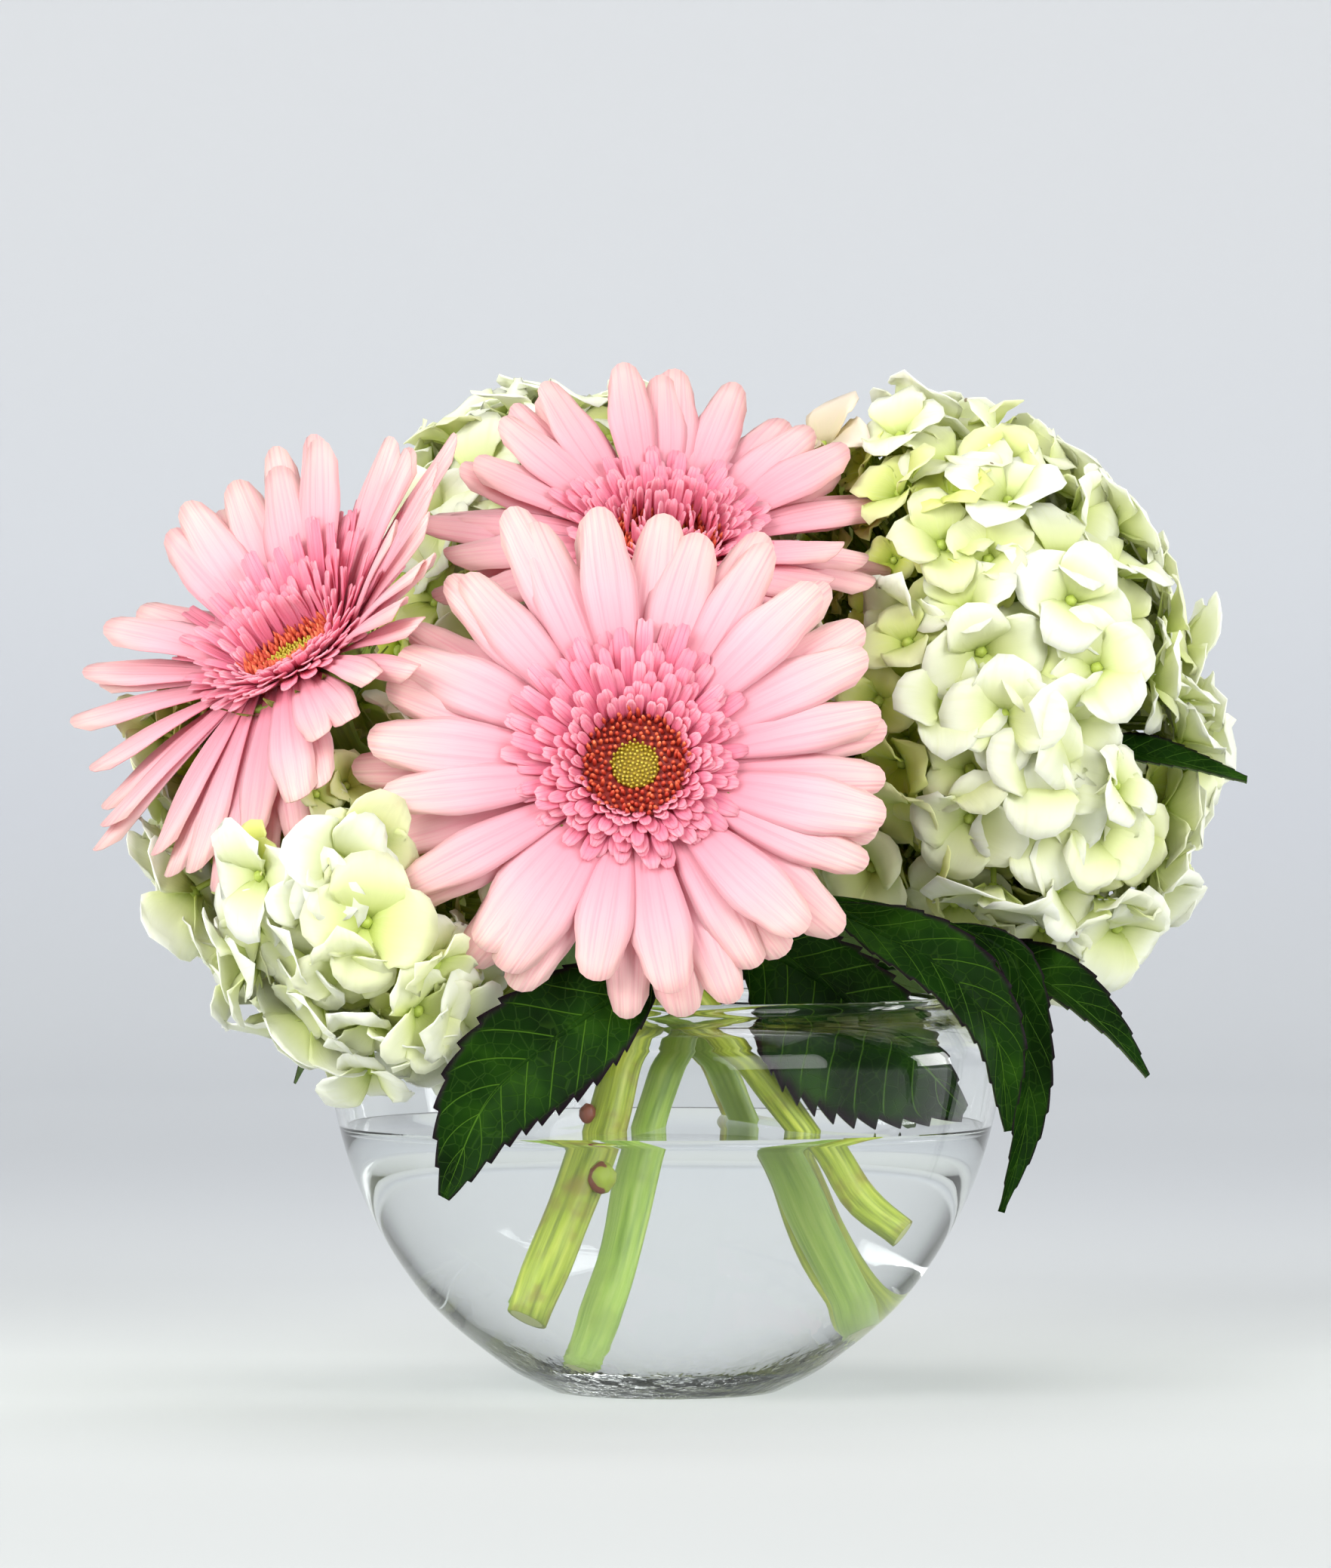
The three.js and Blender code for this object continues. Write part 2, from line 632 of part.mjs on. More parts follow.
// The room of the bowl's shoulder and rim
function bowlRoom() {
  const height = RIM_HEIGHT + 4;
  const profile = [
    [0, 50],
    [BELLY_RADIUS + 1, 60],
    [BELLY_RADIUS + 2, 78],
    [MOUTH_RADIUS + 7, height],
    [0, height],
  ];
  return toSolid(revolve(profile, ROUND_SIDES));
}

// Florets on a golden-angle spiral round a smaller core. One that would meet a
// neighbouring piece is drawn smaller and deeper, or left out
function headGeometry(head, neighbours, rooms) {
  const { centre, size, tilt, count, seed } = head;
  const leanAxis = vec(0, 1, 0);
  const draw = seeded(seed);
  let core = ellipsoid(head, -CORE_DEPTH, 1);
  for (const room of rooms) core = core.subtract(room);
  const solids = [core];
  const goldenAngle = Math.PI * (3 - Math.sqrt(5));
  for (let i = 0; i < count; i++) {
    const height = 1 - (2 * (i + 0.5)) / count;
    const ring = Math.sqrt(1 - height * height);
    const angle = i * goldenAngle + 0.25 * (draw() - 0.5);
    const sphere = vec(ring * Math.cos(angle), ring * Math.sin(angle), height);
    const outward = sphere.clone().divide(size).normalize().applyAxisAngle(leanAxis, tilt);
    const skin = sphere.clone().multiply(size).applyAxisAngle(leanAxis, tilt).add(centre);
    const nod = vec(draw() - 0.5, draw() - 0.5, draw() - 0.5).multiplyScalar(0.35);
    const facing = outward.clone().add(nod).normalize();
    const roll = draw() * Math.PI;
    const radius = FLORET_RADIUS * (0.88 + 0.22 * draw());
    for (const [shrink, depth] of [[1, 0.5], [0.8, 3], [0.62, 6]]) {
      const place = skin.clone().addScaledVector(outward, -depth);
      const test = toSolid(floretFunnel(place, facing, roll, radius * shrink * 1.05));
      if (!touches(test, neighbours)) {
        solids.push(toSolid(floretFunnel(place, facing, roll, radius * shrink)));
        break;
      }
    }
  }
  return toGeometry(fuse(solids));
}

const GLASS = { color: 0xf4f8f8, roughness: 0.03, metalness: 0, transparent: true, opacity: 0.3 };
const WATER = { color: 0xeef4f4, roughness: 0.02, metalness: 0, transparent: true, opacity: 0.3 };
const RAY_PINK = { color: 0xf7bcc4, roughness: 0.6, metalness: 0 };
const FLORET_PINK = { color: 0xf2859f, roughness: 0.6, metalness: 0 };
const RUST = { color: 0xb4502a, roughness: 0.7, metalness: 0 };
const EYE_GREEN = { color: 0xb9b63a, roughness: 0.7, metalness: 0 };
const STEM_GREEN = { color: 0x86a83c, roughness: 0.5, metalness: 0 };
const LEAF_GREEN = { color: 0x1d4a20, roughness: 0.45, metalness: 0 };
const CREAM = { color: 0xeef2cf, roughness: 0.6, metalness: 0 };

addNode(centerpiece, "glass_bowl", bowlGeometry(), GLASS);

const stemHoles = Object.keys(STEMS).map((name) => stemSolid(name, GAP + 0.1));
stemHoles.push(...scarSolids(GAP + 0.1));
addNode(centerpiece, "water", waterGeometry(stemHoles), WATER);

// Stems, each gerbera's with the green cup under its bloom
const neighbours = [toSolid(bowlGeometry())];
for (const name of Object.keys(STEMS)) {
  const pieces = [stemSolid(name, 0)];
  if (name in GERBERAS) pieces.push(cupSolid(bloomFrame(GERBERAS[name]), 0));
  if (name === "hydrangea_right") pieces.push(...scarSolids(0));
  const solid = fuse(pieces);
  neighbours.push(solid);
  addNode(centerpiece, `${name}_stem`, toGeometry(solid), STEM_GREEN);
}

// Blooms, each a group placed and turned as a whole
const blooms = [];
Object.entries(GERBERAS).forEach(([name, bloom], i) => {
  const frame = bloomFrame(bloom);
  const group = new THREE.Group();
  frame.decompose(group.position, group.quaternion, group.scale);
  const rays = rayGeometry({ ...bloom, seed: 11 + i }, frame, blooms);
  const florets = floretGeometry({ ...bloom, seed: 11 + i });
  addNode(group, `${name}_rays`, rays, RAY_PINK);
  addNode(group, `${name}_florets`, florets, FLORET_PINK);
  addNode(group, `${name}_ring`, ringGeometry(), RUST);
  addNode(group, `${name}_eye`, eyeGeometry(), EYE_GREEN);
  centerpiece.add(group);
  blooms.push(toSolid(rays.clone().applyMatrix4(frame)), toSolid(florets.clone().applyMatrix4(frame)));
});
neighbours.push(...blooms);

for (const [name, shape] of Object.entries(LEAVES)) {
  const solid = leafSolid(shape, 0);
  neighbours.push(solid);
  addNode(centerpiece, name, toGeometry(solid), LEAF_GREEN);
}

// Heads last: each keeps clear of all that is already there
const rooms = [bowlRoom(), ...stemHoles, ...Object.values(GERBERAS).map(bloomRoom)];
rooms.push(...Object.values(LEAVES).map((shape) => leafSolid(shape, GAP + 0.1)));
for (const [name, head] of Object.entries(HEADS)) {
  const geometry = headGeometry(head, neighbours, rooms);
  neighbours.push(toSolid(geometry));
  rooms.push(ellipsoid(head, HEAD_ROOM, 1));
  addNode(centerpiece, `${name}_head`, geometry, CREAM);
}

export default centerpiece;
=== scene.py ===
import math
import random

import bmesh
import bpy
from mathutils import Euler, Matrix, Vector, noise
from mathutils.bvhtree import BVHTree


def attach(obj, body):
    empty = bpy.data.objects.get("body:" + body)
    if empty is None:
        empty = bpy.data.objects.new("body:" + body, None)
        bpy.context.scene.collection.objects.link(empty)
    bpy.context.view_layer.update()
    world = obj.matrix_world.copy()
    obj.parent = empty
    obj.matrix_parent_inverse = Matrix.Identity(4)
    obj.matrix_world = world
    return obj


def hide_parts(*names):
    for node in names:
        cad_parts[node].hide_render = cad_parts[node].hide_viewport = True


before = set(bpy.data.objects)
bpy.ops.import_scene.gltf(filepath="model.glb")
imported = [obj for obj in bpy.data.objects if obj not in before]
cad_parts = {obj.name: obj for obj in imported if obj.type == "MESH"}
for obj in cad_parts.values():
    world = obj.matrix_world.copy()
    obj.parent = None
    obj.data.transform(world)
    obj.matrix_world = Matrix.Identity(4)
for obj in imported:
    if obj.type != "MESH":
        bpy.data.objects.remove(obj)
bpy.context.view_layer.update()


# ---- Studio
# A seamless sweep stands under and all round the arrangement. Its colour holds painted light
# and shade: the pale floor and wall are painted lighter and darker in bands for the fall of the
# light, and behind the camera and at both sides the paper is a grey painted shade. Soft boxes
# light it from the front left, the front right, above and both sides, and a level camera looks
# at it from a metre and a half away.
MM = 0.001
FLOOR_REACH = 1500
SWEEP_CURVE = 900
SWEEP_TOP = 2600
PAINTED_SHADE_GREY = (110, 112, 116)


def rgb(red, green, blue):
    """A colour given as 0 to 255, as shader values."""
    parts = [c / 255 for c in (red, green, blue)]
    return [c / 12.92 if c < 0.04045 else ((c + 0.055) / 1.055) ** 2.4 for c in parts] + [1.0]


def node(tree, kind, inputs=None, **settings):
    """A shader node with its settings and its inputs, which are values or sockets."""
    made = tree.nodes.new(kind)
    for key, value in settings.items():
        setattr(made, key, value)
    for key, value in (inputs or {}).items():
        if isinstance(value, bpy.types.NodeSocket):
            tree.links.new(value, made.inputs[key])
        else:
            made.inputs[key].default_value = value
    return made


def ramp(tree, factor, stops):
    """A colour along a scale of stops, each a place and a colour of 0 to 255."""
    made = node(tree, "ShaderNodeValToRGB", {"Fac": factor})
    while len(made.color_ramp.elements) < len(stops):
        made.color_ramp.elements.new(0.5)
    for element, (place, *colour) in zip(made.color_ramp.elements, stops):
        element.position = place
        element.color = rgb(*colour)
    return made.outputs["Color"]


def mask(tree, value, low, high, start=0.0, end=1.0):
    """A value spread smoothly between two limits."""
    return node(tree, "ShaderNodeMapRange", {
        "Value": value, "From Min": low, "From Max": high, "To Min": start, "To Max": end,
    }, interpolation_type="SMOOTHSTEP").outputs["Result"]


def calc(tree, operation, a, b=0.0):
    """One sum on one or two values."""
    return node(tree, "ShaderNodeMath", {0: a, 1: b}, operation=operation).outputs["Value"]


def times(tree, a, b):
    return calc(tree, "MULTIPLY", a, b)


def blend_colour(tree, factor, a, b):
    """Two colours, sockets or tuples of 0 to 255, laid over each other."""
    made = node(tree, "ShaderNodeMix", data_type="RGBA")
    for socket, value in zip((made.inputs[0], made.inputs[6], made.inputs[7]), (factor, a, b)):
        if isinstance(value, bpy.types.NodeSocket):
            tree.links.new(value, socket)
        else:
            socket.default_value = rgb(*value)
    return made.outputs[2]


def object_place(tree):
    return node(tree, "ShaderNodeTexCoord").outputs["Object"]


def surface(name, sockets):
    """A material with its Principled shader's own values."""
    made = bpy.data.materials.new(name)
    made.use_nodes = True
    shader = made.node_tree.nodes["Principled BSDF"]
    for key, value in sockets.items():
        shader.inputs[key].default_value = value
    return made, made.node_tree, shader


def spun(profile, steps):
    """A turned form about the upright axis from radius and height pairs in millimetres."""
    shape = bmesh.new()
    points = [shape.verts.new((r * MM, 0, z * MM)) for r, z in profile]
    line = [shape.edges.new(pair) for pair in zip(points, points[1:])]
    bmesh.ops.spin(shape, geom=points + line, axis=(0, 0, 1), cent=(0, 0, 0),
                   angle=2 * math.pi, steps=steps, use_merge=True)
    bmesh.ops.remove_doubles(shape, verts=shape.verts, dist=1e-6)
    bmesh.ops.recalc_face_normals(shape, faces=shape.faces)
    return shape


def make_piece(name, shape, *materials):
    """An object at the origin with a shape and its finishes."""
    mesh = bpy.data.meshes.new(name)
    shape.to_mesh(mesh)
    shape.free()
    for material in materials:
        mesh.materials.append(material)
    mesh.shade_smooth()
    made = bpy.data.objects.new(name, mesh)
    bpy.context.scene.collection.objects.link(made)
    return made


bpy.context.scene.view_settings.view_transform = "Standard"

sweep_profile = [(0, 0), (900, 0), (FLOOR_REACH, 0)]
for step in range(1, 13):
    turn = math.pi / 2 * step / 12
    sweep_profile.append((FLOOR_REACH + SWEEP_CURVE * math.sin(turn),
                          SWEEP_CURVE - SWEEP_CURVE * math.cos(turn)))
sweep_profile.append((FLOOR_REACH + SWEEP_CURVE, SWEEP_TOP))
paper, tree, shader = surface("sweep_paper_painted_light", {"Roughness": 0.9, "Specular IOR Level": 0.1})
at = node(tree, "ShaderNodeSeparateXYZ", {"Vector": object_place(tree)}).outputs
# Painted light and shade: the wall is painted lighter towards its top, and the floor lighter in a
# band under the arrangement and darker in front of it and behind it, for the fall of the soft
# boxes' light.
wall = ramp(tree, mask(tree, at["Z"], 0.0, 0.6), [
    (0, 199, 202, 205), (0.1, 200, 203, 208), (0.4, 206, 209, 213), (1, 210, 212, 214)])
table = ramp(tree, mask(tree, at["Y"], -0.35, 0.85), [
    (0, 194, 197, 196), (0.3, 214, 217, 216), (0.6, 198, 201, 202), (1, 188, 191, 194)])
painted_light_paper = blend_colour(tree, mask(tree, at["Y"], 0.9, 1.5), table, wall)
# Behind the camera and at both sides the paper is painted a grey shade. It stands in for the unlit
# dark of a studio, which the glass reflects.
behind_camera = blend_colour(tree, mask(tree, at["Y"], -1.0, -1.9), painted_light_paper, PAINTED_SHADE_GREY)
sides = mask(tree, calc(tree, "ABSOLUTE", at["X"]), 1.5, 2.2)
tree.links.new(blend_colour(tree, sides, behind_camera, PAINTED_SHADE_GREY), shader.inputs["Base Color"])
sweep = make_piece("studio_sweep", spun(sweep_profile, 96), paper)

camera_data = bpy.data.cameras.new("camera")
camera_data.sensor_fit = "VERTICAL"
camera_data.sensor_height = 24
camera_data.lens = 101.35
camera = bpy.data.objects.new("camera", camera_data)
camera.location = (0, -1.5, 0.137)
camera.rotation_euler = (math.pi / 2, 0, 0)
bpy.context.scene.collection.objects.link(camera)
bpy.context.scene.camera = camera

for name, spot, aim, size, watts in (
    ("key_soft_box", (-1.0, -1.4, 0.95), (0, 0, 0.13), 1.2, 34),
    ("fill_soft_box", (1.1, -1.4, 0.8), (0, 0, 0.13), 1.2, 29),
    ("top_soft_box", (0.0, 0.1, 1.9), (0, 0, 0.1), 1.7, 10),
    ("left_low_strip", (-1.5, -0.5, 0.4), (0, 0, 0.1), 0.6, 8),
    ("right_low_strip", (1.5, 0.35, 0.35), (0, 0, 0.1), 0.5, 8),
    ("backdrop_box", (0.0, 0.8, 1.7), (0, 2.3, 0.3), 1.5, 14),
):
    light = bpy.data.lights.new(name, "AREA")
    light.size = size
    light.energy = watts
    lamp = bpy.data.objects.new(name, light)
    lamp.location = spot
    lamp.rotation_euler = (Vector(aim) - lamp.location).to_track_quat("-Z", "Y").to_euler()
    bpy.context.scene.collection.objects.link(lamp)

world = bpy.data.worlds.new("studio_air")
world.use_nodes = True
world.node_tree.nodes["Background"].inputs["Color"].default_value = (0.93, 0.96, 1.0, 1)
world.node_tree.nodes["Background"].inputs["Strength"].default_value = 0.25
bpy.context.scene.world = world


# ---- Glass bowl
# A low round bowl blown from clear glass, with a thick rippled base, a tight shoulder
# and a fire-polished rim that closes in over the water.
FOOT_RADIUS = 26
WALL = 1.8
BASE_GLASS = 6.5
RIM_HEIGHT = 87
MOUTH_RADIUS = 61
ROUND_STEPS = 128
OUTLINE_STEPS = 60
bowl_outline = [(FOOT_RADIUS, 0), (37.6, 6.5), (55.2, 22), (69.5, 46), (76.4, 73), (72.8, 82.5),
                (MOUTH_RADIUS + 3, RIM_HEIGHT)]


def along_curve(points, steps, power=0.5, parts=24):
    """Evenly spaced points of a smooth curve through all the points given."""
    points = [Vector(p) for p in points]
    points = [2 * points[0] - points[1]] + points + [2 * points[-1] - points[-2]]
    fine = []
    for a, b, c, d in zip(points, points[1:], points[2:], points[3:]):
        t1 = (b - a).length ** power
        t2 = t1 + (c - b).length ** power
        t3 = t2 + (d - c).length ** power
        for k in range(parts):
            t = t1 + (t2 - t1) * k / parts
            ab = a.lerp(b, t / t1)
            bc = b.lerp(c, (t - t1) / (t2 - t1))
            cd = c.lerp(d, (t - t2) / (t3 - t2))
            abc = ab.lerp(bc, t / t2)
            bcd = bc.lerp(cd, (t - t1) / (t3 - t1))
            fine.append(abc.lerp(bcd, (t - t1) / (t2 - t1)))
    fine.append(points[-2])
    lengths = [0.0]
    for p, q in zip(fine, fine[1:]):
        lengths.append(lengths[-1] + (q - p).length)
    found = []
    k = 0
    for i in range(steps + 1):
        goal = lengths[-1] * i / steps
        while k < len(fine) - 2 and lengths[k + 1] < goal:
            k += 1
        share = (goal - lengths[k]) / max(lengths[k + 1] - lengths[k], 1e-9)
        found.append(fine[k].lerp(fine[k + 1], share))
    return found


outline_curve = along_curve([(r, z) for r, z in bowl_outline], OUTLINE_STEPS, 0.0001)


def wall_inside(distance, floor, top):
    """The bowl's outline moved in, from a floor's middle out and up to a top height."""
    moved = []
    for i, p in enumerate(outline_curve):
        ahead = outline_curve[min(i + 1, OUTLINE_STEPS)]
        t = (ahead - outline_curve[max(i - 1, 0)]).normalized()
        moved.append((p.x - distance * t.y, p.y + distance * t.x))
    cut = [p for p in moved if floor < p[1] < top]
    return [(0, floor), (cut[0][0] - 6, floor), (cut[0][0] - 2, floor + 0.2)] + cut


outer = [(p.x, p.y) for p in outline_curve]
inner = wall_inside(WALL, BASE_GLASS, RIM_HEIGHT - WALL - 0.6)
lip = [(MOUTH_RADIUS + r, RIM_HEIGHT + z) for r, z in (
    (3.2, 0.9), (2.7, 1.7), (1.8, 2), (0.8, 1.8), (0.2, 1.1), (0, 0))]
foot = [(0, 0.9), (14, 0.8), (21, 0.4), (24, 0)]
bowl_shape = spun(foot + outer + lip + inner[::-1], ROUND_STEPS)
taken = {"bowl": BVHTree.FromBMesh(bowl_shape)}


def pass_shadows(material, clearness=0.92):
    """Most of the light that casts shadows goes straight through clear walls."""
    tree = material.node_tree
    shader = tree.nodes["Principled BSDF"]
    ray = node(tree, "ShaderNodeLightPath").outputs["Is Shadow Ray"]
    clear = node(tree, "ShaderNodeBsdfTransparent", {"Color": (0.97, 0.98, 0.98, 1)})
    mixed = node(tree, "ShaderNodeMixShader", {
        "Fac": times(tree, ray, clearness), 1: shader.outputs["BSDF"], 2: clear.outputs["BSDF"]})
    tree.links.new(mixed.outputs["Shader"], tree.nodes["Material Output"].inputs["Surface"])


glass, tree, shader = surface("clear_bowl_glass", {
    "Base Color": (0.985, 0.995, 0.99, 1), "Roughness": 0.0, "IOR": 1.5,
    "Transmission Weight": 1.0, "Specular Tint": (0.25, 0.25, 0.25, 1)})
place = object_place(tree)
height = node(tree, "ShaderNodeSeparateXYZ", {"Vector": place}).outputs["Z"]
near_foot = mask(tree, height, 0.004, 0.016, 1.0, 0.0)
ripple = node(tree, "ShaderNodeTexNoise", {"Vector": place, "Scale": 260.0, "Detail": 2.0})
waves = node(tree, "ShaderNodeBump", {
    "Height": times(tree, ripple.outputs["Fac"], near_foot), "Strength": 0.35, "Distance": 0.001})
tree.links.new(waves.outputs["Normal"], shader.inputs["Normal"])
pass_shadows(glass)
bowl = make_piece("round_bowl", bowl_shape, glass)
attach(bowl, "root")
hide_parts("glass_bowl")


# ---- Water
# Clean water fills the bowl to two thirds. It wets the glass, so its outside lies
# just in the wall, and it climbs the glass a little all round its surface.
WATER_LEVEL = 60
OVERLAP = 0.25
wet = wall_inside(WALL - OVERLAP, BASE_GLASS - OVERLAP, WATER_LEVEL + 0.4)
edge_radius = wet[-1][0]
top = [(edge_radius - 0.5, WATER_LEVEL + 0.15), (edge_radius - 1.4, WATER_LEVEL), (0, WATER_LEVEL)]
clean_water, tree, shader = surface("clean_water", {
    "Base Color": (0.955, 0.968, 0.966, 1), "Roughness": 0.0, "IOR": 1.333,
    "Transmission Weight": 1.0})
pass_shadows(clean_water)
water = make_piece("bowl_water", spun(wet + top, ROUND_STEPS), clean_water)
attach(water, "root")
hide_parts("water")


# ---- Stems
# Six cut stems cross in the mouth of the bowl: three thick woody hydrangea stems, one
# with a leaf scar and a bud, and three soft gerbera stems that swell into a cup of
# green scales under the bloom.
STEMS = {
    "hydrangea_right": (4.6, [
        (-29, -33, 21.5), (-21, -31.5, 40.5), (-13.5, -28.5, 60), (-6.7, -24, 85.5),
        (3, -22, 106), (20, -14, 122), (42, 0, 137), (62, 14, 149)]),
    "gerbera_front": (3.8, [
        (-17.1, -15, 12.6), (-9.2, -14, 36), (-4.1, -11, 59), (3.9, -8, 85.2),
        (5, -6.5, 104), (3, -14, 121), (-3, -34, 131), (-6.5, -56.9, 135.3)]),
    "hydrangea_left": (3.4, [
        (48.3, -25, 40), (37.5, -26, 49), (30.5, -27, 60), (9.7, -31, 85.8),
        (-4, -36, 100), (-25, -38, 107), (-44, -38, 108.5), (-61, -38, 109)]),
    "gerbera_left": (3.4, [
        (30, 22, 30), (26.4, 21, 39.4), (18.5, 20, 58.8), (9.2, 18, 79.7),
        (3, 13, 95), (-14, 4, 113), (-38, -4, 130), (-58, -18, 140)]),
    "gerbera_back": (3.2, [
        (-22.5, 12, 31.5), (-16.9, 12, 45), (-13, 12, 60), (-6.9, 13, 84),
        (-8, 19, 102), (-7, 22, 124), (-4, 14, 150)]),
    "hydrangea_back": (3.8, [
        (27, 40, 33), (23.1, 42, 42), (17, 42, 60.4), (9.3, 42, 78.8),
        (2, 44, 105), (-9, 50, 135), (-18, 56, 160)]),
}
GERBERAS = {
    "gerbera_front": {"centre": (-6.5, -75, 141), "facing": (0, -0.954, 0.3), "reach": 59},
    "gerbera_back": {"centre": (0.3, -14, 192), "facing": (0.1, -0.62, 0.78), "reach": 56},
    "gerbera_left": {"centre": (-82, -42, 165.5), "facing": (-0.477, -0.3, 0.826), "reach": 61},
}
CUP_DEPTH = 17
CUP_PROFILE = [(0, -17.2), (4.6, -17.2), (8, -14.5), (11, -11.5), (14.5, -8.6), (16.8, -6),
               (17.4, -3.4), (0, -3.3)]
SCALES_ROUND = 18
STEM_SIDES = 16
STEM_STEPS = 44
SCAR_TONE, PITH_TONE = -1.0, 2.0
MARKS = ("across", "along", "tone")


def bloom_frame(centre, facing):
    """The matrix from a bloom, whose disc faces up, to its place in the bouquet."""
    w = Vector(facing).normalized()
    u = Vector((0, 0, 1)).cross(w).normalized()
    turned = Matrix((u, w.cross(u), w)).transposed().to_4x4()
    return Matrix.Translation(centre) @ turned


def petals():
    """An empty shape whose points know their place on a petal and their petal's tone."""
    shape = bmesh.new()
    for mark in MARKS:
        shape.verts.layers.float.new(mark)
    return shape


def marks_of(shape):
    return [shape.verts.layers.float[mark] for mark in MARKS]


def petal_place(matrix, turn, start, lower, rise):
    """The place of a petal that leaves a disc at a turn and a start, raised by degrees."""
    return (matrix @ Matrix.Rotation(turn, 4, "Z") @ Matrix.Translation((0, start, lower))
            @ Matrix.Rotation(math.radians(rise), 4, "X"))


def strap(shape, columns, rows, tone, form, matrix):
    """A petal: a flat grid whose points are moved by its form and put in place."""
    across_mark, along_mark, tone_mark = marks_of(shape)
    made = bmesh.ops.create_grid(shape, x_segments=columns, y_segments=rows, size=1.0)["verts"]
    for vert in made:
        across, along = vert.co.x, (vert.co.y + 1) / 2
        vert[across_mark] = across
        vert[along_mark] = along
        vert[tone_mark] = tone
        vert.co = (matrix @ Vector(form(across, along))) * MM
    return made


def tube(shape, path, widths, sides, tone=0.5):
    """A round stem along a path, whose cut ends show their pith."""
    around, along_mark, tone_mark = marks_of(shape)
    ring = bmesh.ops.create_circle(shape, cap_ends=True, radius=1, segments=sides)["verts"]
    for vert in ring:
        vert[around] = math.atan2(vert.co.y, vert.co.x) / math.pi
        vert[tone_mark] = tone
    first_cap = ring[0].link_faces[0]
    edges = list(first_cap.edges)
    tangent = (path[1] - path[0]).normalized()
    side = tangent.orthogonal().normalized()
    for i, point in enumerate(path):
        if i:
            turned = (path[min(i + 1, len(path) - 1)] - path[i - 1]).normalized()
            side.rotate(tangent.rotation_difference(turned))
            tangent = turned
            grown = bmesh.ops.extrude_edge_only(shape, edges=edges)["geom"]
            ring = [g for g in grown if isinstance(g, bmesh.types.BMVert)]
            edges = [g for g in grown if isinstance(g, bmesh.types.BMEdge)]
        other = tangent.cross(side)
        for vert in ring:
            turn = vert[around] * math.pi
            vert[along_mark] = i / (len(path) - 1)
            spoke = side * math.cos(turn) + other * math.sin(turn)
            vert.co = (point + spoke * widths[i]) * MM
    last_cap = bmesh.ops.contextual_create(shape, geom=edges)["faces"]
    for cap in [first_cap] + last_cap:
        bmesh.ops.inset_individual(shape, faces=[cap], thickness=widths[0] * 0.25 * MM,
                                   depth=-0.1 * MM)
        for vert in cap.verts:
            vert[tone_mark] = PITH_TONE


def add_turned(shape, profile, steps, matrix):
    """A turned form, added to a shape and put in place."""
    turned = spun(profile, steps)
    turned.transform(Matrix.Scale(MM, 4) @ matrix @ Matrix.Scale(1 / MM, 4))
    mesh = bpy.data.meshes.new("turned_part")
    turned.to_mesh(mesh)
    turned.free()
    shape.from_mesh(mesh)
    bpy.data.meshes.remove(mesh)


def scales(shape, matrix, rng):
    """Three rows of pointed green scales round a gerbera's cup."""
    for row, (start, drop, length) in enumerate(((6, -15.5, 10), (11, -11.5, 9), (15, -7, 9))):
        def scale_form(across, along):
            half = 1.5 * (1 - along) ** 0.6 + 0.15
            return across * half, along * length, -0.35 * across * across + 0.3

        for k in range(SCALES_ROUND):
            turn = 2 * math.pi * (k + 0.5 * row) / SCALES_ROUND + 0.1 * rng.random()
            rise = rng.uniform(20, 30) if row < 2 else rng.uniform(38, 50)
            local = petal_place(matrix, turn - math.pi / 2, start, drop, rise)
            strap(shape, 2, 4, rng.random(), scale_form, local)


def node_group(name, inputs, outputs):
    """An empty effect with named inputs, which have their usual values, and outputs."""
    group = bpy.data.node_groups.new(name, "ShaderNodeTree")
    for key, usual in inputs.items():
        group.interface.new_socket(
            key, in_out="INPUT", socket_type="NodeSocketFloat").default_value = usual
    for key in outputs:
        group.interface.new_socket(key, in_out="OUTPUT", socket_type="NodeSocketFloat")
    return group, node(group, "NodeGroupInput").outputs, node(group, "NodeGroupOutput").inputs


def mottling_group():
    """Fine speckle and slow patches, shared by every living surface."""
    group, given, out = node_group("mottling", {"Scale": 200.0}, ("Patches", "Speckle"))
    place = object_place(group)
    slow = node(group, "ShaderNodeTexNoise", {
        "Vector": place, "Scale": times(group, given["Scale"], 0.25), "Detail": 3.0})
    fine = node(group, "ShaderNodeTexNoise", {
        "Vector": place, "Scale": given["Scale"], "Detail": 5.0})
    group.links.new(slow.outputs["Fac"], out["Patches"])
    group.links.new(fine.outputs["Fac"], out["Speckle"])
    return group


mottling = mottling_group()


def attribute(tree, name):
    return node(tree, "ShaderNodeAttribute", attribute_name=name).outputs["Fac"]


def own_marks(tree):
    return [attribute(tree, mark) for mark in MARKS]


def relief(tree, shader, height, strength, distance):
    """Fine relief on a surface, whose normal is handed back for its glow."""
    bump = node(tree, "ShaderNodeBump", {
        "Height": height, "Strength": strength, "Distance": distance}).outputs["Normal"]
    tree.links.new(bump, shader.inputs["Normal"])
    return bump


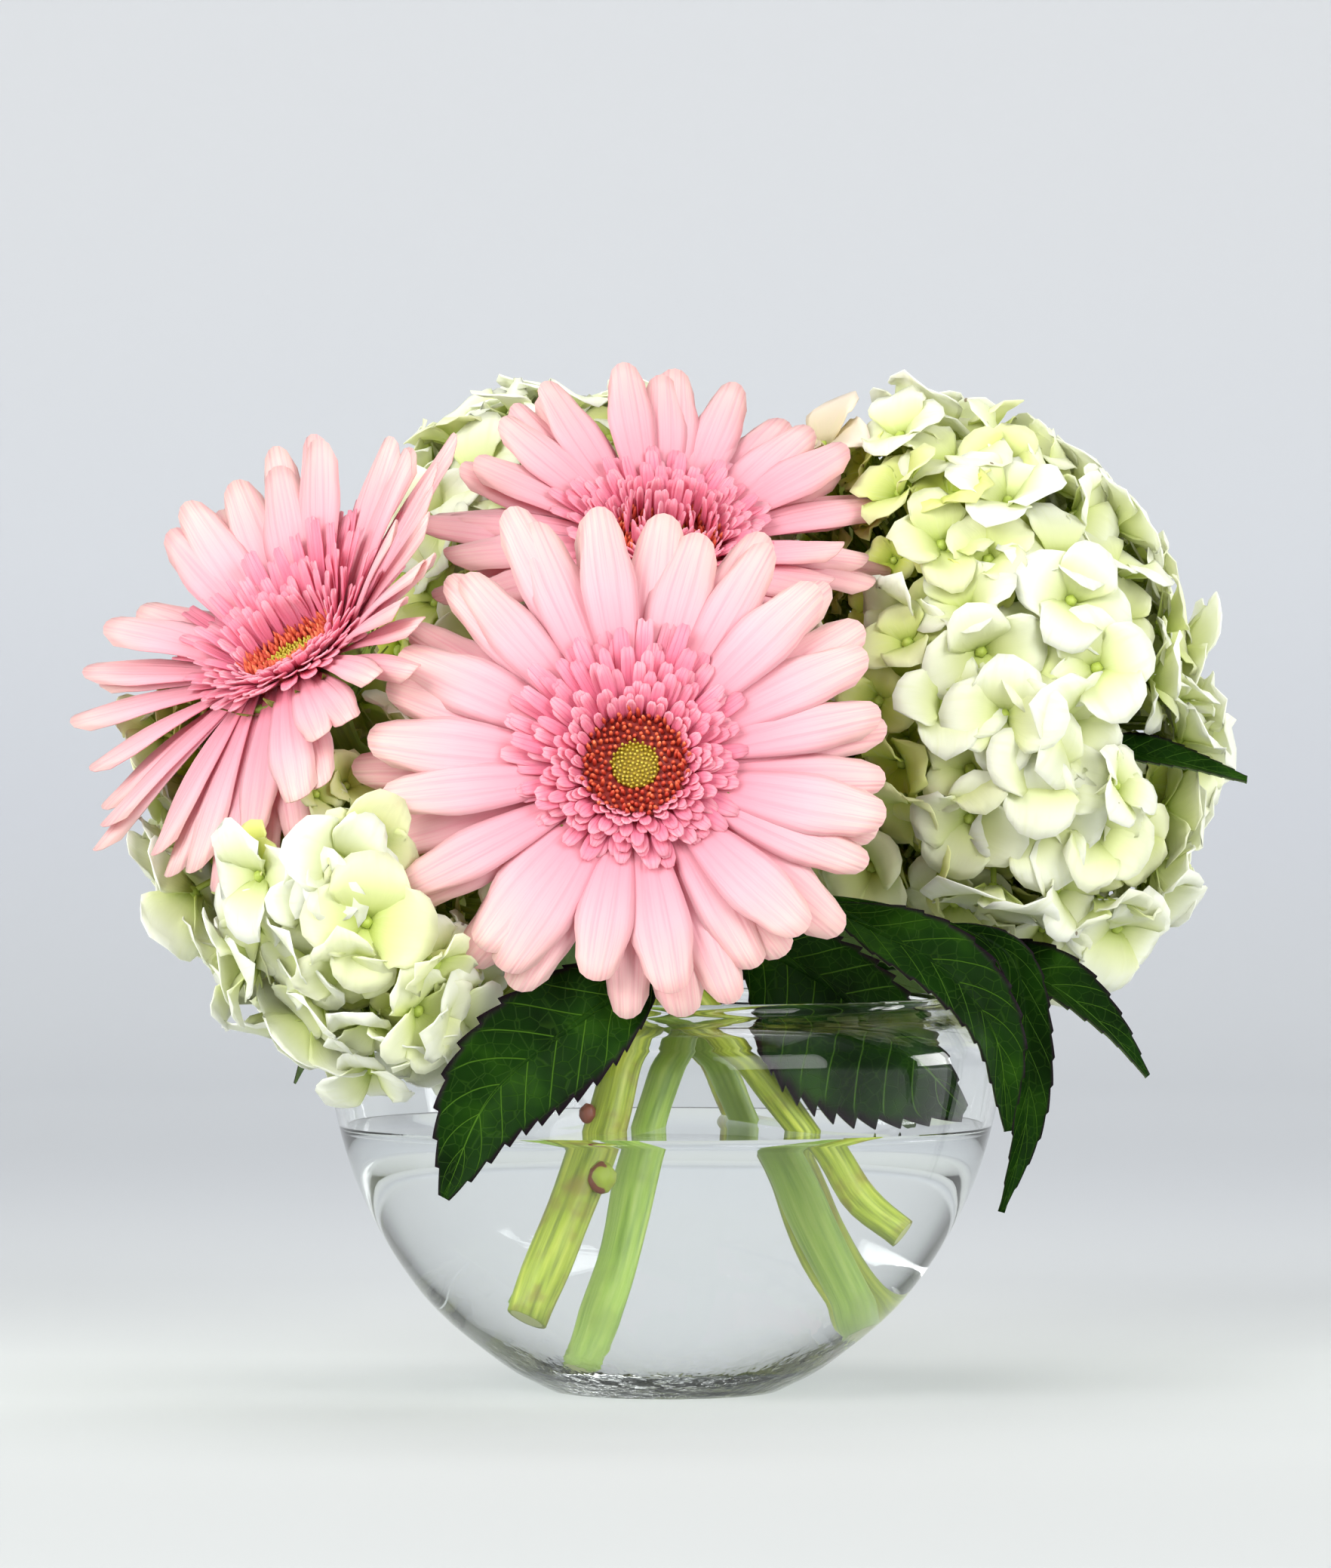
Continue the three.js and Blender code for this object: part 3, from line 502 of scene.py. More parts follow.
def stem_finish(name, dark, green, light, blush, streaks):
    """Smooth green rind with lengthwise streaks, pale pith at the cut ends."""
    made, tree, shader = surface(name, {"Roughness": 0.42, "Specular IOR Level": 0.4})
    around, along, tone = own_marks(tree)
    lines = node(tree, "ShaderNodeCombineXYZ", {
        "X": times(tree, calc(tree, "ABSOLUTE", around), streaks),
        "Y": times(tree, along, 7.0)})
    grain = node(tree, "ShaderNodeTexNoise", {
        "Vector": lines.outputs["Vector"], "Scale": 1.0, "Detail": 4.0}).outputs["Fac"]
    spots = node(tree, "ShaderNodeGroup", {"Scale": 420.0}, node_tree=mottling)
    base = ramp(tree, grain, [(0.3, *dark), (0.5, *green), (0.72, *light)])
    patches = mask(tree, spots.outputs["Patches"], 0.5, 0.72, 0.0, 0.75)
    tinted = blend_colour(tree, patches, base, blush)
    pith = blend_colour(tree, mask(tree, tone, 1.2, 1.8), tinted, (200, 206, 140))
    scarred = blend_colour(tree, mask(tree, tone, -0.2, -0.8), pith, (122, 66, 48))
    tree.links.new(scarred, shader.inputs["Base Color"])
    relief(tree, shader, grain, 0.3, 0.0004)
    return made


woody = stem_finish("hydrangea_rind", (96, 112, 30), (150, 168, 52), (190, 198, 84),
                    (128, 112, 50), 9.0)
soft = stem_finish("gerbera_rind", (108, 140, 52), (146, 176, 76), (176, 196, 104),
                   (132, 156, 70), 6.0)
for name, (radius, points) in STEMS.items():
    rng = random.Random(len(name) * 31)
    shape = petals()
    route = [Vector(p) for p in points]
    gerbera = name in GERBERAS
    if gerbera:
        bloom = GERBERAS[name]
        w = Vector(bloom["facing"]).normalized()
        cup_foot = Vector(bloom["centre"]) - w * CUP_DEPTH
        route = [p for p in route if (p - cup_foot).length > 14] + [cup_foot - w * 10, cup_foot]
    path = along_curve(route, STEM_STEPS)
    widths = [radius * (1 + 0.035 * math.sin(i * 0.9 + radius)) for i in range(STEM_STEPS + 1)]
    if gerbera:
        widths[-2:] = [radius * 1.12, radius * 1.3]
    tube(shape, path, widths, STEM_SIDES)
    if gerbera:
        matrix = bloom_frame(bloom["centre"], bloom["facing"])
        add_turned(shape, CUP_PROFILE, 32, matrix)
        scales(shape, matrix, rng)
    if name == "hydrangea_right":
        tone_mark = marks_of(shape)[2]
        scar = ((-12.2, -33.4, 53.5), (2.8, 2.4, 3.3))
        bud = ((-17.2, -31, 64), (1.9, 1.6, 2.2))
        for knob in (scar, bud):
            centre, size = knob
            ball = bmesh.ops.create_icosphere(shape, subdivisions=3, radius=1.0)["verts"]
            for vert in ball:
                bulge = 1 + 0.16 * noise.noise(vert.co * 2.1)
                rim = -0.75 < vert.co.y < -0.2 and vert.co.x < 0.3
                vert[tone_mark] = SCAR_TONE if knob is bud or rim else 0.5
                vert.co = (Vector(centre) + Vector(
                    c * s for c, s in zip(vert.co, size)) * bulge) * MM
    bmesh.ops.recalc_face_normals(shape, faces=shape.faces)
    taken[f"{name}_stem"] = BVHTree.FromBMesh(shape)
    stem = make_piece(f"{name}_stalk", shape, soft if gerbera else woody)
    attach(stem, "root")
    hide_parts(f"{name}_stem")


# ---- Gerbera blooms
# Each bloom is a flat head of thin soft petals on a green cup: two layers of long
# rounded rays, a ruff of short deep pink florets, a ring of rust-red buds and a
# yellow-green eye of tiny closed buds.
RAY_START = 13
RAY_STYLE = {
    "gerbera_front": {
        "rise": 3, "lean": 3, "toward": (-0.4, 0, 1), "width": 12.9, "tone": 0.0, "spread": 4,
        "uneven": 0.09, "tuck": None, "ruff": 0.8, "stand": 0, "closed": False},
    "gerbera_back": {
        "rise": 7, "lean": 16, "toward": (-0.2, 1, 0.2), "width": 12.4, "tone": 0.35, "spread": 6,
        "uneven": -0.09, "tuck": (0.5, -0.8, -0.2), "ruff": 0.6, "stand": 22, "closed": True},
    "gerbera_left": {
        "rise": 7, "lean": 38, "toward": (0.35, 1, 0.2), "width": 12.2, "tone": 0.15, "spread": 7,
        "uneven": 0.05, "tuck": (0.75, -0.65, -0.1), "ruff": 1.9, "stand": 14, "closed": False},
}
RAY_LAYERS = ((22, 1.0, -2.4, -2), (20, 0.94, -1.4, 5))
RUFF_ROWS = [
    (36, 13.6, -0.9, (10, 13), (3.4, 4.2), (3, 12)),
    (40, 13.2, -0.5, (8.5, 11), (3.1, 3.8), (9, 20)),
    (44, 12.7, -0.1, (7, 9), (2.8, 3.4), (17, 30)),
    (46, 12.2, 0.2, (5.5, 7.5), (2.6, 3.1), (27, 43)),
    (46, 11.6, 0.4, (4.2, 5.8), (2.3, 2.8), (40, 58)),
    (44, 10.9, 0.6, (3, 4.2), (1.9, 2.3), (52, 72)),
]
CLOSED_ROWS = [
    (34, 9.0, 0.8, (5.5, 8.5), (1.8, 2.4), (58, 80)),
    (24, 6.0, 0.6, (5, 8), (1.8, 2.2), (64, 84)),
    (12, 3.0, 0.4, (4.5, 7), (1.6, 2.0), (70, 88)),
]
RING_BED = [(0, -2.9), (13, -2.9), (13.6, -1), (12, 0.4), (9, 0.5), (5.5, -0.4), (0, -0.6)]
EYE_BED = [(0, -0.55), (5.2, -0.45), (5.0, 0.35), (3.2, 0.25), (0, 0.0)]
GOLDEN = 3 - math.sqrt(5)


def clear_of(made, others):
    """Whether the new points' faces keep clear of the shapes that are in place."""
    order = {vert: i for i, vert in enumerate(made)}
    faces = {face for vert in made for face in vert.link_faces}
    corners = [[order[v] for v in f.verts] for f in faces]
    own = BVHTree.FromPolygons([v.co for v in made], corners)
    return not any(own.overlap(other) for other in others)


def smooth(value, low, high):
    share = min(max((value - low) / (high - low), 0), 1)
    return share * share * (3 - 2 * share)


def rounding(across):
    """How far a rounded tip falls back from its middle towards its sides."""
    return 1 - math.sqrt(1 - 0.98 * across ** 2)


def ray_form(length, width, droop, sway, arch, phase):
    def form(across, along):
        widen = 0.34 + 0.66 * math.sin(min(along / 0.68, 1) * math.pi / 2) ** 1.2
        half = width / 2 * widen * (1 - 0.24 * smooth(along, 0.68, 1))
        out = along * length - 0.16 * length * rounding(across) * smooth(along, 0.45, 1)
        ridges = 0.3 * math.cos(3 * math.pi * across) * math.sin(math.pi * along)
        z = -droop * length * along ** 2 - arch * across ** 2 * along + ridges
        z += 0.35 * math.sin(phase + 5 * along) * across
        return across * half + sway * along ** 2, out, z
    return form


def floret_form(length, width, curl, notch):
    def form(across, along):
        half = width / 2 * (0.55 + 0.45 * smooth(along, 0, 0.5))
        half *= 1 - 0.12 * smooth(along, 0.7, 1)
        out = along * length - 0.6 * width * rounding(across) * smooth(along, 0.5, 1)
        out -= notch * length * (1 - abs(across)) * smooth(along, 0.8, 1)
        return across * half, out, curl * length * along ** 2 + 0.3 * across ** 2
    return form


def petal_group():
    """Lengthwise streaks and two grooves of a petal, from its own across and along."""
    group, given, out = node_group(
        "petal_streaks", {"Across": 0.0, "Along": 0.0, "Tone": 0.0, "Fineness": 14.0},
        ("Streaks", "Grooves"))
    lines = node(group, "ShaderNodeCombineXYZ", {
        "X": times(group, given["Across"], given["Fineness"]),
        "Y": times(group, given["Along"], 1.6),
        "Z": times(group, given["Tone"], 37.0)})
    streak = node(group, "ShaderNodeTexNoise", {
        "Vector": lines.outputs["Vector"], "Scale": 1.0, "Detail": 3.0})
    aside = calc(group, "ABSOLUTE", given["Across"])
    away = calc(group, "ABSOLUTE", calc(group, "SUBTRACT", aside, 0.34))
    group.links.new(streak.outputs["Fac"], out["Streaks"])
    group.links.new(mask(group, away, 0.0, 0.11, 1.0, 0.0), out["Grooves"])
    return group


petal_streaks = petal_group()


def glow_through(made, tree, shader, colour, normal, share):
    """A share of the light passes through a thin soft petal."""
    glow = node(tree, "ShaderNodeBsdfTranslucent", {"Color": colour, "Normal": normal})
    mixed = node(tree, "ShaderNodeMixShader", {
        "Fac": share, 1: shader.outputs["BSDF"], 2: glow.outputs["BSDF"]})
    tree.links.new(mixed.outputs["Shader"], tree.nodes["Material Output"].inputs["Surface"])
    return made


def petal_finish(name, stops, streak_colour, warm, share, fineness=14.0):
    """A thin soft petal whose colour runs from root to tip."""
    made, tree, shader = surface(name, {
        "Roughness": 0.55, "Specular IOR Level": 0.25,
        "Sheen Weight": 0.15, "Sheen Roughness": 0.5})
    across, along, tone = own_marks(tree)
    lines = node(tree, "ShaderNodeGroup", {
        "Across": across, "Along": along, "Tone": tone, "Fineness": fineness,
    }, node_tree=petal_streaks).outputs
    streaks = mask(tree, lines["Streaks"], 0.45, 0.72, 0.0, 0.42)
    streaked = blend_colour(tree, streaks, ramp(tree, along, stops), streak_colour)
    # The two grooves are tinted deeper pink: painted shade in the creases.
    grooves = times(tree, lines["Grooves"], 0.22)
    groove_shaded = blend_colour(tree, grooves, streaked, streak_colour)
    toned = blend_colour(tree, times(tree, tone, 0.55), groove_shaded, warm)
    tree.links.new(toned, shader.inputs["Base Color"])
    furrows = calc(tree, "SUBTRACT", times(tree, lines["Streaks"], 0.4), lines["Grooves"])
    normal = relief(tree, shader, furrows, 0.35, 0.0004)
    return glow_through(made, tree, shader, toned, normal, share)


ray_skin = petal_finish("ray_petal_skin", [
    (0.0, 238, 108, 142), (0.22, 246, 166, 184), (0.6, 250, 199, 206), (1.0, 252, 218, 208),
], (243, 160, 178), (245, 160, 175), 0.3)
floret_skin = petal_finish("disc_floret_skin", [
    (0.0, 238, 96, 140), (0.5, 250, 148, 178), (1.0, 255, 196, 206),
], (242, 116, 154), (248, 136, 166), 0.35, 6.0)


def bud_finish(name, stops, roughness):
    """Tiny fleshy buds, each with its own tone."""
    made, tree, shader = surface(name, {"Roughness": roughness, "Specular IOR Level": 0.35})
    along, tone = (attribute(tree, mark) for mark in MARKS[1:])
    spots = node(tree, "ShaderNodeGroup", {"Scale": 900.0}, node_tree=mottling)
    ripeness = calc(tree, "ADD", times(tree, along, 0.6), times(tree, tone, 0.4))
    speckle = mask(tree, spots.outputs["Speckle"], 0.5, 0.8, 0.0, 0.4)
    speckled = blend_colour(tree, speckle, ramp(tree, ripeness, stops), stops[0][1:])
    tree.links.new(speckled, shader.inputs["Base Color"])
    return made


rust_bud = bud_finish("rust_bud_skin", [
    (0.0, 148, 38, 30), (0.5, 192, 64, 46), (0.85, 220, 106, 66), (1.0, 238, 164, 114)], 0.5)
eye_bud = bud_finish("eye_bud_skin", [
    (0.0, 150, 124, 24), (0.5, 182, 158, 40), (1.0, 212, 200, 84)], 0.5)


def buds(shape, matrix, count, inner_radius, outer_radius, size, height, rng, dome):
    """Small round-headed buds on a golden-angle spiral over a ring of the disc."""
    along_mark, tone_mark = marks_of(shape)[1:]
    for k in range(count):
        share = (k + 0.5) / count
        radius = math.sqrt(inner_radius ** 2 + share * (outer_radius ** 2 - inner_radius ** 2))
        turn = k * math.pi * GOLDEN
        tall = height(share) * rng.uniform(0.8, 1.2)
        spot = Vector((radius * math.cos(turn), radius * math.sin(turn), dome(radius)))
        lean = (Matrix.Rotation(rng.uniform(-0.25, 0.25), 3, "X")
                @ Matrix.Rotation(rng.uniform(-0.25, 0.25), 3, "Y"))
        tone = rng.random()
        bud = bmesh.ops.create_icosphere(shape, subdivisions=1, radius=1.0)["verts"]
        for vert in bud:
            vert[along_mark] = (vert.co.z + 1) / 2
            vert[tone_mark] = tone
            local = Vector((vert.co.x * size, vert.co.y * size, (vert.co.z + 0.6) * tall))
            vert.co = (matrix @ (spot + lean @ local)) * MM


def add_thickness(piece, thickness):
    wall = piece.modifiers.new("thickness", "SOLIDIFY")
    wall.thickness = thickness * MM
    wall.offset = 0.0


blooms_taken = []
for index, (name, bloom) in enumerate(GERBERAS.items()):
    rng = random.Random(200 + index)
    style = RAY_STYLE[name]
    matrix = bloom_frame(bloom["centre"], bloom["facing"])
    flat = matrix.to_3x3().transposed()
    toward = flat @ Vector(style["toward"])
    lift_turn = math.atan2(toward.y, toward.x)
    tuck = flat @ Vector(style["tuck"] or (0, 0, 0))
    tuck_turn = math.atan2(tuck.y, tuck.x)

    rays = petals()
    for layer, (count, shorter, lower, lift) in enumerate(RAY_LAYERS):
        for k in range(count):
            turn = 2 * math.pi * (k + 0.5 * layer + rng.uniform(-0.28, 0.28)) / count
            length = (bloom["reach"] - RAY_START) * shorter * rng.uniform(0.9, 1.04)
            length *= 1 + style["uneven"] * math.cos(turn - lift_turn)
            tucked = smooth(math.cos(turn - tuck_turn), 0.3, 0.9) if style["tuck"] else 0
            length *= 1 - 0.3 * tucked
            rise = style["rise"] + style["lean"] * math.cos(turn - lift_turn)
            rise += lift + rng.uniform(-style["spread"], style["spread"]) + 22 * tucked
            width = style["width"] * rng.uniform(0.86, 1.1) * (1 - 0.3 * tucked)
            tone = min(max(style["tone"] + rng.uniform(-0.2, 0.25), 0), 1)
            droop, sway = rng.uniform(0.04, 0.16), rng.uniform(-2.2, 2.2)
            arch, phase = rng.uniform(0.4, 1.6), rng.uniform(0, 6)
            for attempt in range(5):
                local = petal_place(matrix, turn - math.pi / 2, RAY_START, lower, rise)
                form = ray_form(length, width, droop, sway, arch, phase)
                made = strap(rays, 6, 9, tone, form, local)
                if clear_of(made, blooms_taken):
                    break
                bmesh.ops.delete(rays, geom=made, context="VERTS")
                length *= 0.88
                rise += 8
    blooms_taken.append(BVHTree.FromBMesh(rays))
    taken[f"{name}_rays"] = blooms_taken[-1]
    ray_piece = make_piece(f"{name}_ray_petals", rays, ray_skin)
    add_thickness(ray_piece, 0.35)
    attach(ray_piece, "root")
    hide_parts(f"{name}_rays")

    ruff = petals()
    for count, start, lower, lengths, widths, rises in (
            RUFF_ROWS + CLOSED_ROWS if style["closed"] else RUFF_ROWS):
        for k in range(count):
            turn = 2 * math.pi * (k + rng.uniform(-0.35, 0.35)) / count
            upward = math.cos(turn - lift_turn)
            rise = rng.uniform(*rises) + style["stand"] * (1 - upward) / 2
            rise += (0.7 if upward > 0 else 0.3) * style["lean"] * upward
            longer = 1 + style["ruff"] * smooth(upward, -0.5, 1) - 0.12
            length = rng.uniform(*lengths) * longer
            askew = rng.uniform(-0.12, 0.12)
            local = petal_place(matrix, turn - math.pi / 2 + askew, start, lower, rise)
            form = floret_form(length, rng.uniform(*widths), rng.uniform(-0.12, 0.1),
                               rng.uniform(0, 0.12))
            strap(ruff, 4, 4, rng.random(), form, local)
    ruff_piece = make_piece(f"{name}_floret_ruff", ruff, floret_skin)
    add_thickness(ruff_piece, 0.3)
    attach(ruff_piece, "root")
    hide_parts(f"{name}_florets")

    ring = petals()
    add_turned(ring, RING_BED, 40, matrix)
    buds(ring, matrix, 170, 5.6, 11.6, 0.52, lambda s: 1.3 + 1.3 * s, rng, lambda r: 0.2)
    ring_piece = make_piece(f"{name}_bud_ring", ring, rust_bud)
    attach(ring_piece, "root")
    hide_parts(f"{name}_ring")

    eye = petals()
    add_turned(eye, EYE_BED, 24, matrix)
    buds(eye, matrix, 110, 0.0, 5.4, 0.34, lambda s: 0.45 + 0.35 * s, rng,
         lambda r: 0.1 + 0.08 * r)
    eye_piece = make_piece(f"{name}_bud_eye", eye, eye_bud)
    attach(eye_piece, "root")
    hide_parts(f"{name}_eye")


# ---- Leaves
# Broad hydrangea leaves on short stalks, toothed all round, with a sunken network of
# veins, dark green above and paler below, their margins bruised purple-black.
RIB_STEPS = 120
TEETH = 13
SIDE_VEINS = 9
VEIN_SLANT = 1.7
LEAF_THICKNESS = 0.5
LEAVES = {
    "leaf_front_left": {
        "stem": ("hydrangea_left", 99), "blade": 0.3, "faces": (-0.1, -0.95, 0.15),
        "half": (14, 14), "fold": 0.12, "route": [
            (-1, -58, 98), (-5, -72, 95), (-18, -78, 86.5), (-37.5, -80, 70), (-47.6, -79, 48.2)]},
    "leaf_inside_right": {
        "stem": ("hydrangea_right", 104), "blade": 0.16, "faces": (0.35, -0.88, 0.3),
        "half": (15, 26), "fold": -0.25, "route": [
            (20, -31, 101), (34.4, -31, 93.7), (52.4, -25, 79), (67, -15.5, 64)]},
    "leaf_right_a": {
        "stem": ("hydrangea_right", 115), "blade": 0.3, "faces": (0.3, -0.9, 0.4),
        "half": (9.5, 8.5), "fold": 0.3, "route": [
            (30, -38, 113), (44, -50, 106), (62, -54, 95.5), (72, -53, 82), (75, -51, 61)]},
    "leaf_right_b": {
        "stem": ("hydrangea_right", 112), "blade": 0.42, "faces": (0.2, -0.95, 0.1),
        "half": (6, 5.5), "fold": 0.5, "route": [
            (36, -25, 111), (58, -33, 107), (76, -34, 99), (80, -32, 82), (80, -31, 62),
            (74.5, -31, 42)]},
    "leaf_right_c": {
        "stem": ("hydrangea_right", 95), "blade": 0.5, "faces": (0.55, -0.55, 0.6),
        "half": (10, 10), "fold": 0.35, "route": [
            (34, -8, 95), (60, -10, 96), (84, -14, 93), (98, -16, 83), (108, -17, 71.5)]},
    "leaf_back_left": {
        "stem": ("hydrangea_back", 112), "blade": 0.25, "faces": (-0.35, 0.85, 0.35),
        "half": (16, 16), "fold": 0.15, "route": [
            (-14, 66, 108), (-28, 78, 98), (-40, 84, 80), (-46, 82, 60)]},
    "leaf_back_right": {
        "stem": ("hydrangea_back", 102), "blade": 0.25, "faces": (0.45, 0.8, 0.35),
        "half": (15, 15), "fold": 0.15, "route": [
            (22, 62, 104), (40, 70, 98), (54, 74, 82), (60, 72, 62)]},
    "leaf_left": {
        "stem": ("hydrangea_left", 105), "blade": 0.4, "faces": (-0.7, 0.3, 0.6),
        "half": (14, 14), "fold": 0.15, "route": [
            (-28, -14, 103), (-42, 8, 103), (-60, 24, 98), (-77, 32, 84), (-86, 36, 68)]},
    "leaf_far_right": {
        "stem": ("hydrangea_right", 145), "blade": 0.5, "faces": (0.1, -0.5, 0.85),
        "half": (6.5, 6.5), "fold": 0.3, "route": [
            (78, -6, 146), (106, -4, 144), (131.6, -2, 138)]},
}


def stalk_foot(name, height, target):
    """Where a leaf stalk leaves the side of a stem, towards a target."""
    radius, points = STEMS[name]
    curve = along_curve(points, 200)
    k = next(i for i, p in enumerate(curve) if p.z > height)
    tangent = (curve[k + 1] - curve[k - 1]).normalized()
    away = Vector(target) - curve[k]
    away = (away - tangent * away.dot(tangent)).normalized()
    return curve[k] + away * (radius - 0.4)


leaf_skin, tree, shader = surface("leaf_skin", {"Roughness": 0.45, "Specular IOR Level": 0.04})
across, along, tone = own_marks(tree)
aside = calc(tree, "ABSOLUTE", across)
slanted = calc(tree, "SUBTRACT", times(tree, along, SIDE_VEINS), times(tree, aside, VEIN_SLANT))
nearest = calc(tree, "ABSOLUTE", calc(tree, "SUBTRACT", calc(tree, "FRACT", slanted), 0.5))
side_veins = times(tree, mask(tree, nearest, 0.0, 0.045, 0.9, 0.0),
                   mask(tree, aside, 0.7, 0.95, 1.0, 0.1))
midrib = mask(tree, aside, 0.0, 0.035, 1.0, 0.0)
net = node(tree, "ShaderNodeTexVoronoi", {
    "Vector": object_place(tree), "Scale": 330.0}, feature="DISTANCE_TO_EDGE")
fine_net = mask(tree, net.outputs["Distance"], 0.0, 0.06, 0.13, 0.0)
veins = calc(tree, "MAXIMUM", calc(tree, "MAXIMUM", side_veins, midrib), fine_net)
spots = node(tree, "ShaderNodeGroup", {"Scale": 260.0}, node_tree=mottling).outputs
green = ramp(tree, spots["Patches"], [
    (0.3, 6, 24, 2), (0.55, 16, 44, 4), (0.75, 36, 70, 8)])
veined = blend_colour(tree, times(tree, veins, 0.6), green, (88, 132, 40))
margin = times(tree, mask(tree, aside, 0.82, 1.0), mask(tree, tone, 0.0, 1.0))
bruised = blend_colour(tree, margin, veined, (28, 16, 26))
below = times(tree, attribute(tree, "under"), 0.8)
tree.links.new(blend_colour(tree, below, bruised, (104, 128, 76)), shader.inputs["Base Color"])
sunken = calc(tree, "SUBTRACT", times(tree, spots["Speckle"], 0.25), veins)
relief(tree, shader, sunken, 0.6, 0.0006)

for name, leaf in LEAVES.items():
    rng = random.Random(sum(map(ord, name)))
    faces = Vector(leaf["faces"])
    start = stalk_foot(*leaf["stem"], leaf["route"][0])
    rib = along_curve([start] + [Vector(p) for p in leaf["route"]], RIB_STEPS)
    first = round(RIB_STEPS * leaf["blade"])
    left, right = leaf["half"]
    phase = rng.uniform(0, 6)

    def leaf_form(across, along, depth):
        """A blade's upper or under side, toothed, quilted between its veins and wavy."""
        k = first + (RIB_STEPS - first) * along
        low = min(int(k), RIB_STEPS - 1)
        middle = rib[low].lerp(rib[low + 1], k - low)
        tangent = (rib[min(low + 2, RIB_STEPS)] - rib[max(low - 1, 0)]).normalized()
        side = tangent.cross(faces).normalized()
        up = side.cross(tangent).normalized()
        out = abs(across)
        belly = math.sin(math.pi * (along * 0.985) ** 0.82) ** 0.9 if along > 0 else 0
        width = right if across > 0 else left
        tooth = (along * TEETH) % 1
        edge = smooth(out, 0.8, 1) * smooth(along, 0.02, 0.1)
        half = max(width * belly * (1 + 0.13 * (tooth - 0.6) * edge), 0.9)
        between = math.cos(2 * math.pi * (along * SIDE_VEINS - out * VEIN_SLANT))
        quilt = 0.16 * between * out * (1 - out) * 2
        wave = 0.05 * width * math.sin(9 * along + phase) * across * out
        lift = out * width * belly * math.sin(leaf["fold"]) + quilt + wave
        point = middle + side * across * half * math.cos(leaf["fold"]) + up * (lift - depth)
        return point + tangent * (width * 0.1 * tooth * edge)

    blade = petals()
    under = blade.verts.layers.float.new("under")
    for depth in (0.0, LEAF_THICKNESS):
        for vert in strap(blade, 12, TEETH * 5, 1.0, lambda x, y: leaf_form(x, y, depth), Matrix()):
            vert[under] = depth / LEAF_THICKNESS
    bmesh.ops.bridge_loops(blade, edges=[edge for edge in blade.edges if edge.is_boundary])
    bmesh.ops.recalc_face_normals(blade, faces=blade.faces)
    stalk = []
    for k in range(0, first + round((RIB_STEPS - first) * 0.85), 3):
        t = (rib[min(k + 1, RIB_STEPS)] - rib[max(k - 1, 0)]).normalized()
        up = t.cross(faces).cross(t).normalized()
        stalk.append(rib[k] - up * (LEAF_THICKNESS if k >= first else 0))
    tube(blade, stalk, [1.5 - 1.1 * k / len(stalk) for k in range(len(stalk))], 8, 0.0)
    taken[name] = BVHTree.FromBMesh(blade)
    leaf_piece = make_piece(f"{name}_blade", blade, leaf_skin)
    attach(leaf_piece, "root")
    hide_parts(name)


# ---- Hydrangea heads
# A head is a dome of many small florets on green twigs. Each floret has four broad
# soft sepals, lime when young and cream to white when open, round a green bead.
HEADS = {
    "hydrangea_right": {
        "centre": (72.5, 24, 156.5), "size": (48, 52, 65.5), "turn": (0, -0.31, 0),
        "outer": 170, "inner": 120, "lime": (-0.75, 0, 0.3), "bulge": (0, 0, 1, 0),
        "blush": (-0.8, -0.1, 0.6)},
    "hydrangea_left": {
        "centre": (-77, -38, 125), "size": (61, 45, 33), "turn": (-0.62, 0.7, -0.82),
        "outer": 140, "inner": 90, "lime": (-0.3, -0.3, 0.8), "bulge": (1, 0, 0, 0.08),
        "blush": (-0.8, -0.4, 0.4)},
    "hydrangea_back": {
        "centre": (-24, 57, 170), "size": (48, 48, 59), "turn": (0, 0, 0),
        "outer": 130, "inner": 80, "lime": (0, -0.5, -0.6), "bulge": (0, 0, 1, 0),
        "blush": (1, 0, 0)},
}
BLUSH_TONE = -0.6
CORE_DEPTH = 20


def sepal_form(length, breadth, cup, ruffle, phase):
    def form(across, along):
        across = math.sin(across * math.pi / 2)
        half = breadth / 2 * (0.26 + 0.74 * math.sin(min(along / 0.62, 1) * math.pi / 2))
        half *= 1 - 0.1 * smooth(along, 0.62, 1) + 0.03 * math.sin(13 * along + phase)
        out = along * length - 0.42 * length * rounding(across) * smooth(along, 0.2, 1)
        edge = max(abs(across), along) ** 3
        wave = math.sin(phase + 4 * across + 3 * along) * along
        wave += 0.7 * math.sin(2 * phase + 8 * across + 9 * along) * edge
        z = length * (cup * along - 0.75 * cup * along ** 2 - 0.14 * along ** 3)
        z += 0.16 * length * across ** 2 * along
        return across * half, out, z + ruffle * wave
    return form


sepal_skin, tree, shader = surface("sepal_skin", {
    "Roughness": 0.6, "Specular IOR Level": 0.2, "Sheen Weight": 0.1, "Sheen Roughness": 0.5})
across, along, tone = own_marks(tree)
streaks = node(tree, "ShaderNodeGroup", {
    "Across": across, "Along": along, "Tone": tone, "Fineness": 8.0,
}, node_tree=petal_streaks).outputs["Streaks"]
spots = node(tree, "ShaderNodeGroup", {"Scale": 420.0}, node_tree=mottling)
open_colour = ramp(tree, along, [
    (0.0, 206, 220, 110), (0.3, 238, 243, 190), (0.7, 250, 252, 234), (1.0, 253, 254, 245)])
young_colour = ramp(tree, along, [
    (0.0, 186, 208, 48), (0.5, 224, 232, 104), (1.0, 240, 242, 160)])
blushed = blend_colour(tree, mask(tree, tone, -0.1, BLUSH_TONE, 0.0, 0.7), open_colour,
                       (244, 224, 204))
aged = blend_colour(tree, mask(tree, tone, 0.1, 0.9), blushed, young_colour)
lined = blend_colour(tree, mask(tree, streaks, 0.5, 0.75, 0.0, 0.25), aged, (234, 238, 188))
pricked = node(tree, "ShaderNodeTexVoronoi", {"Vector": object_place(tree), "Scale": 95.0})
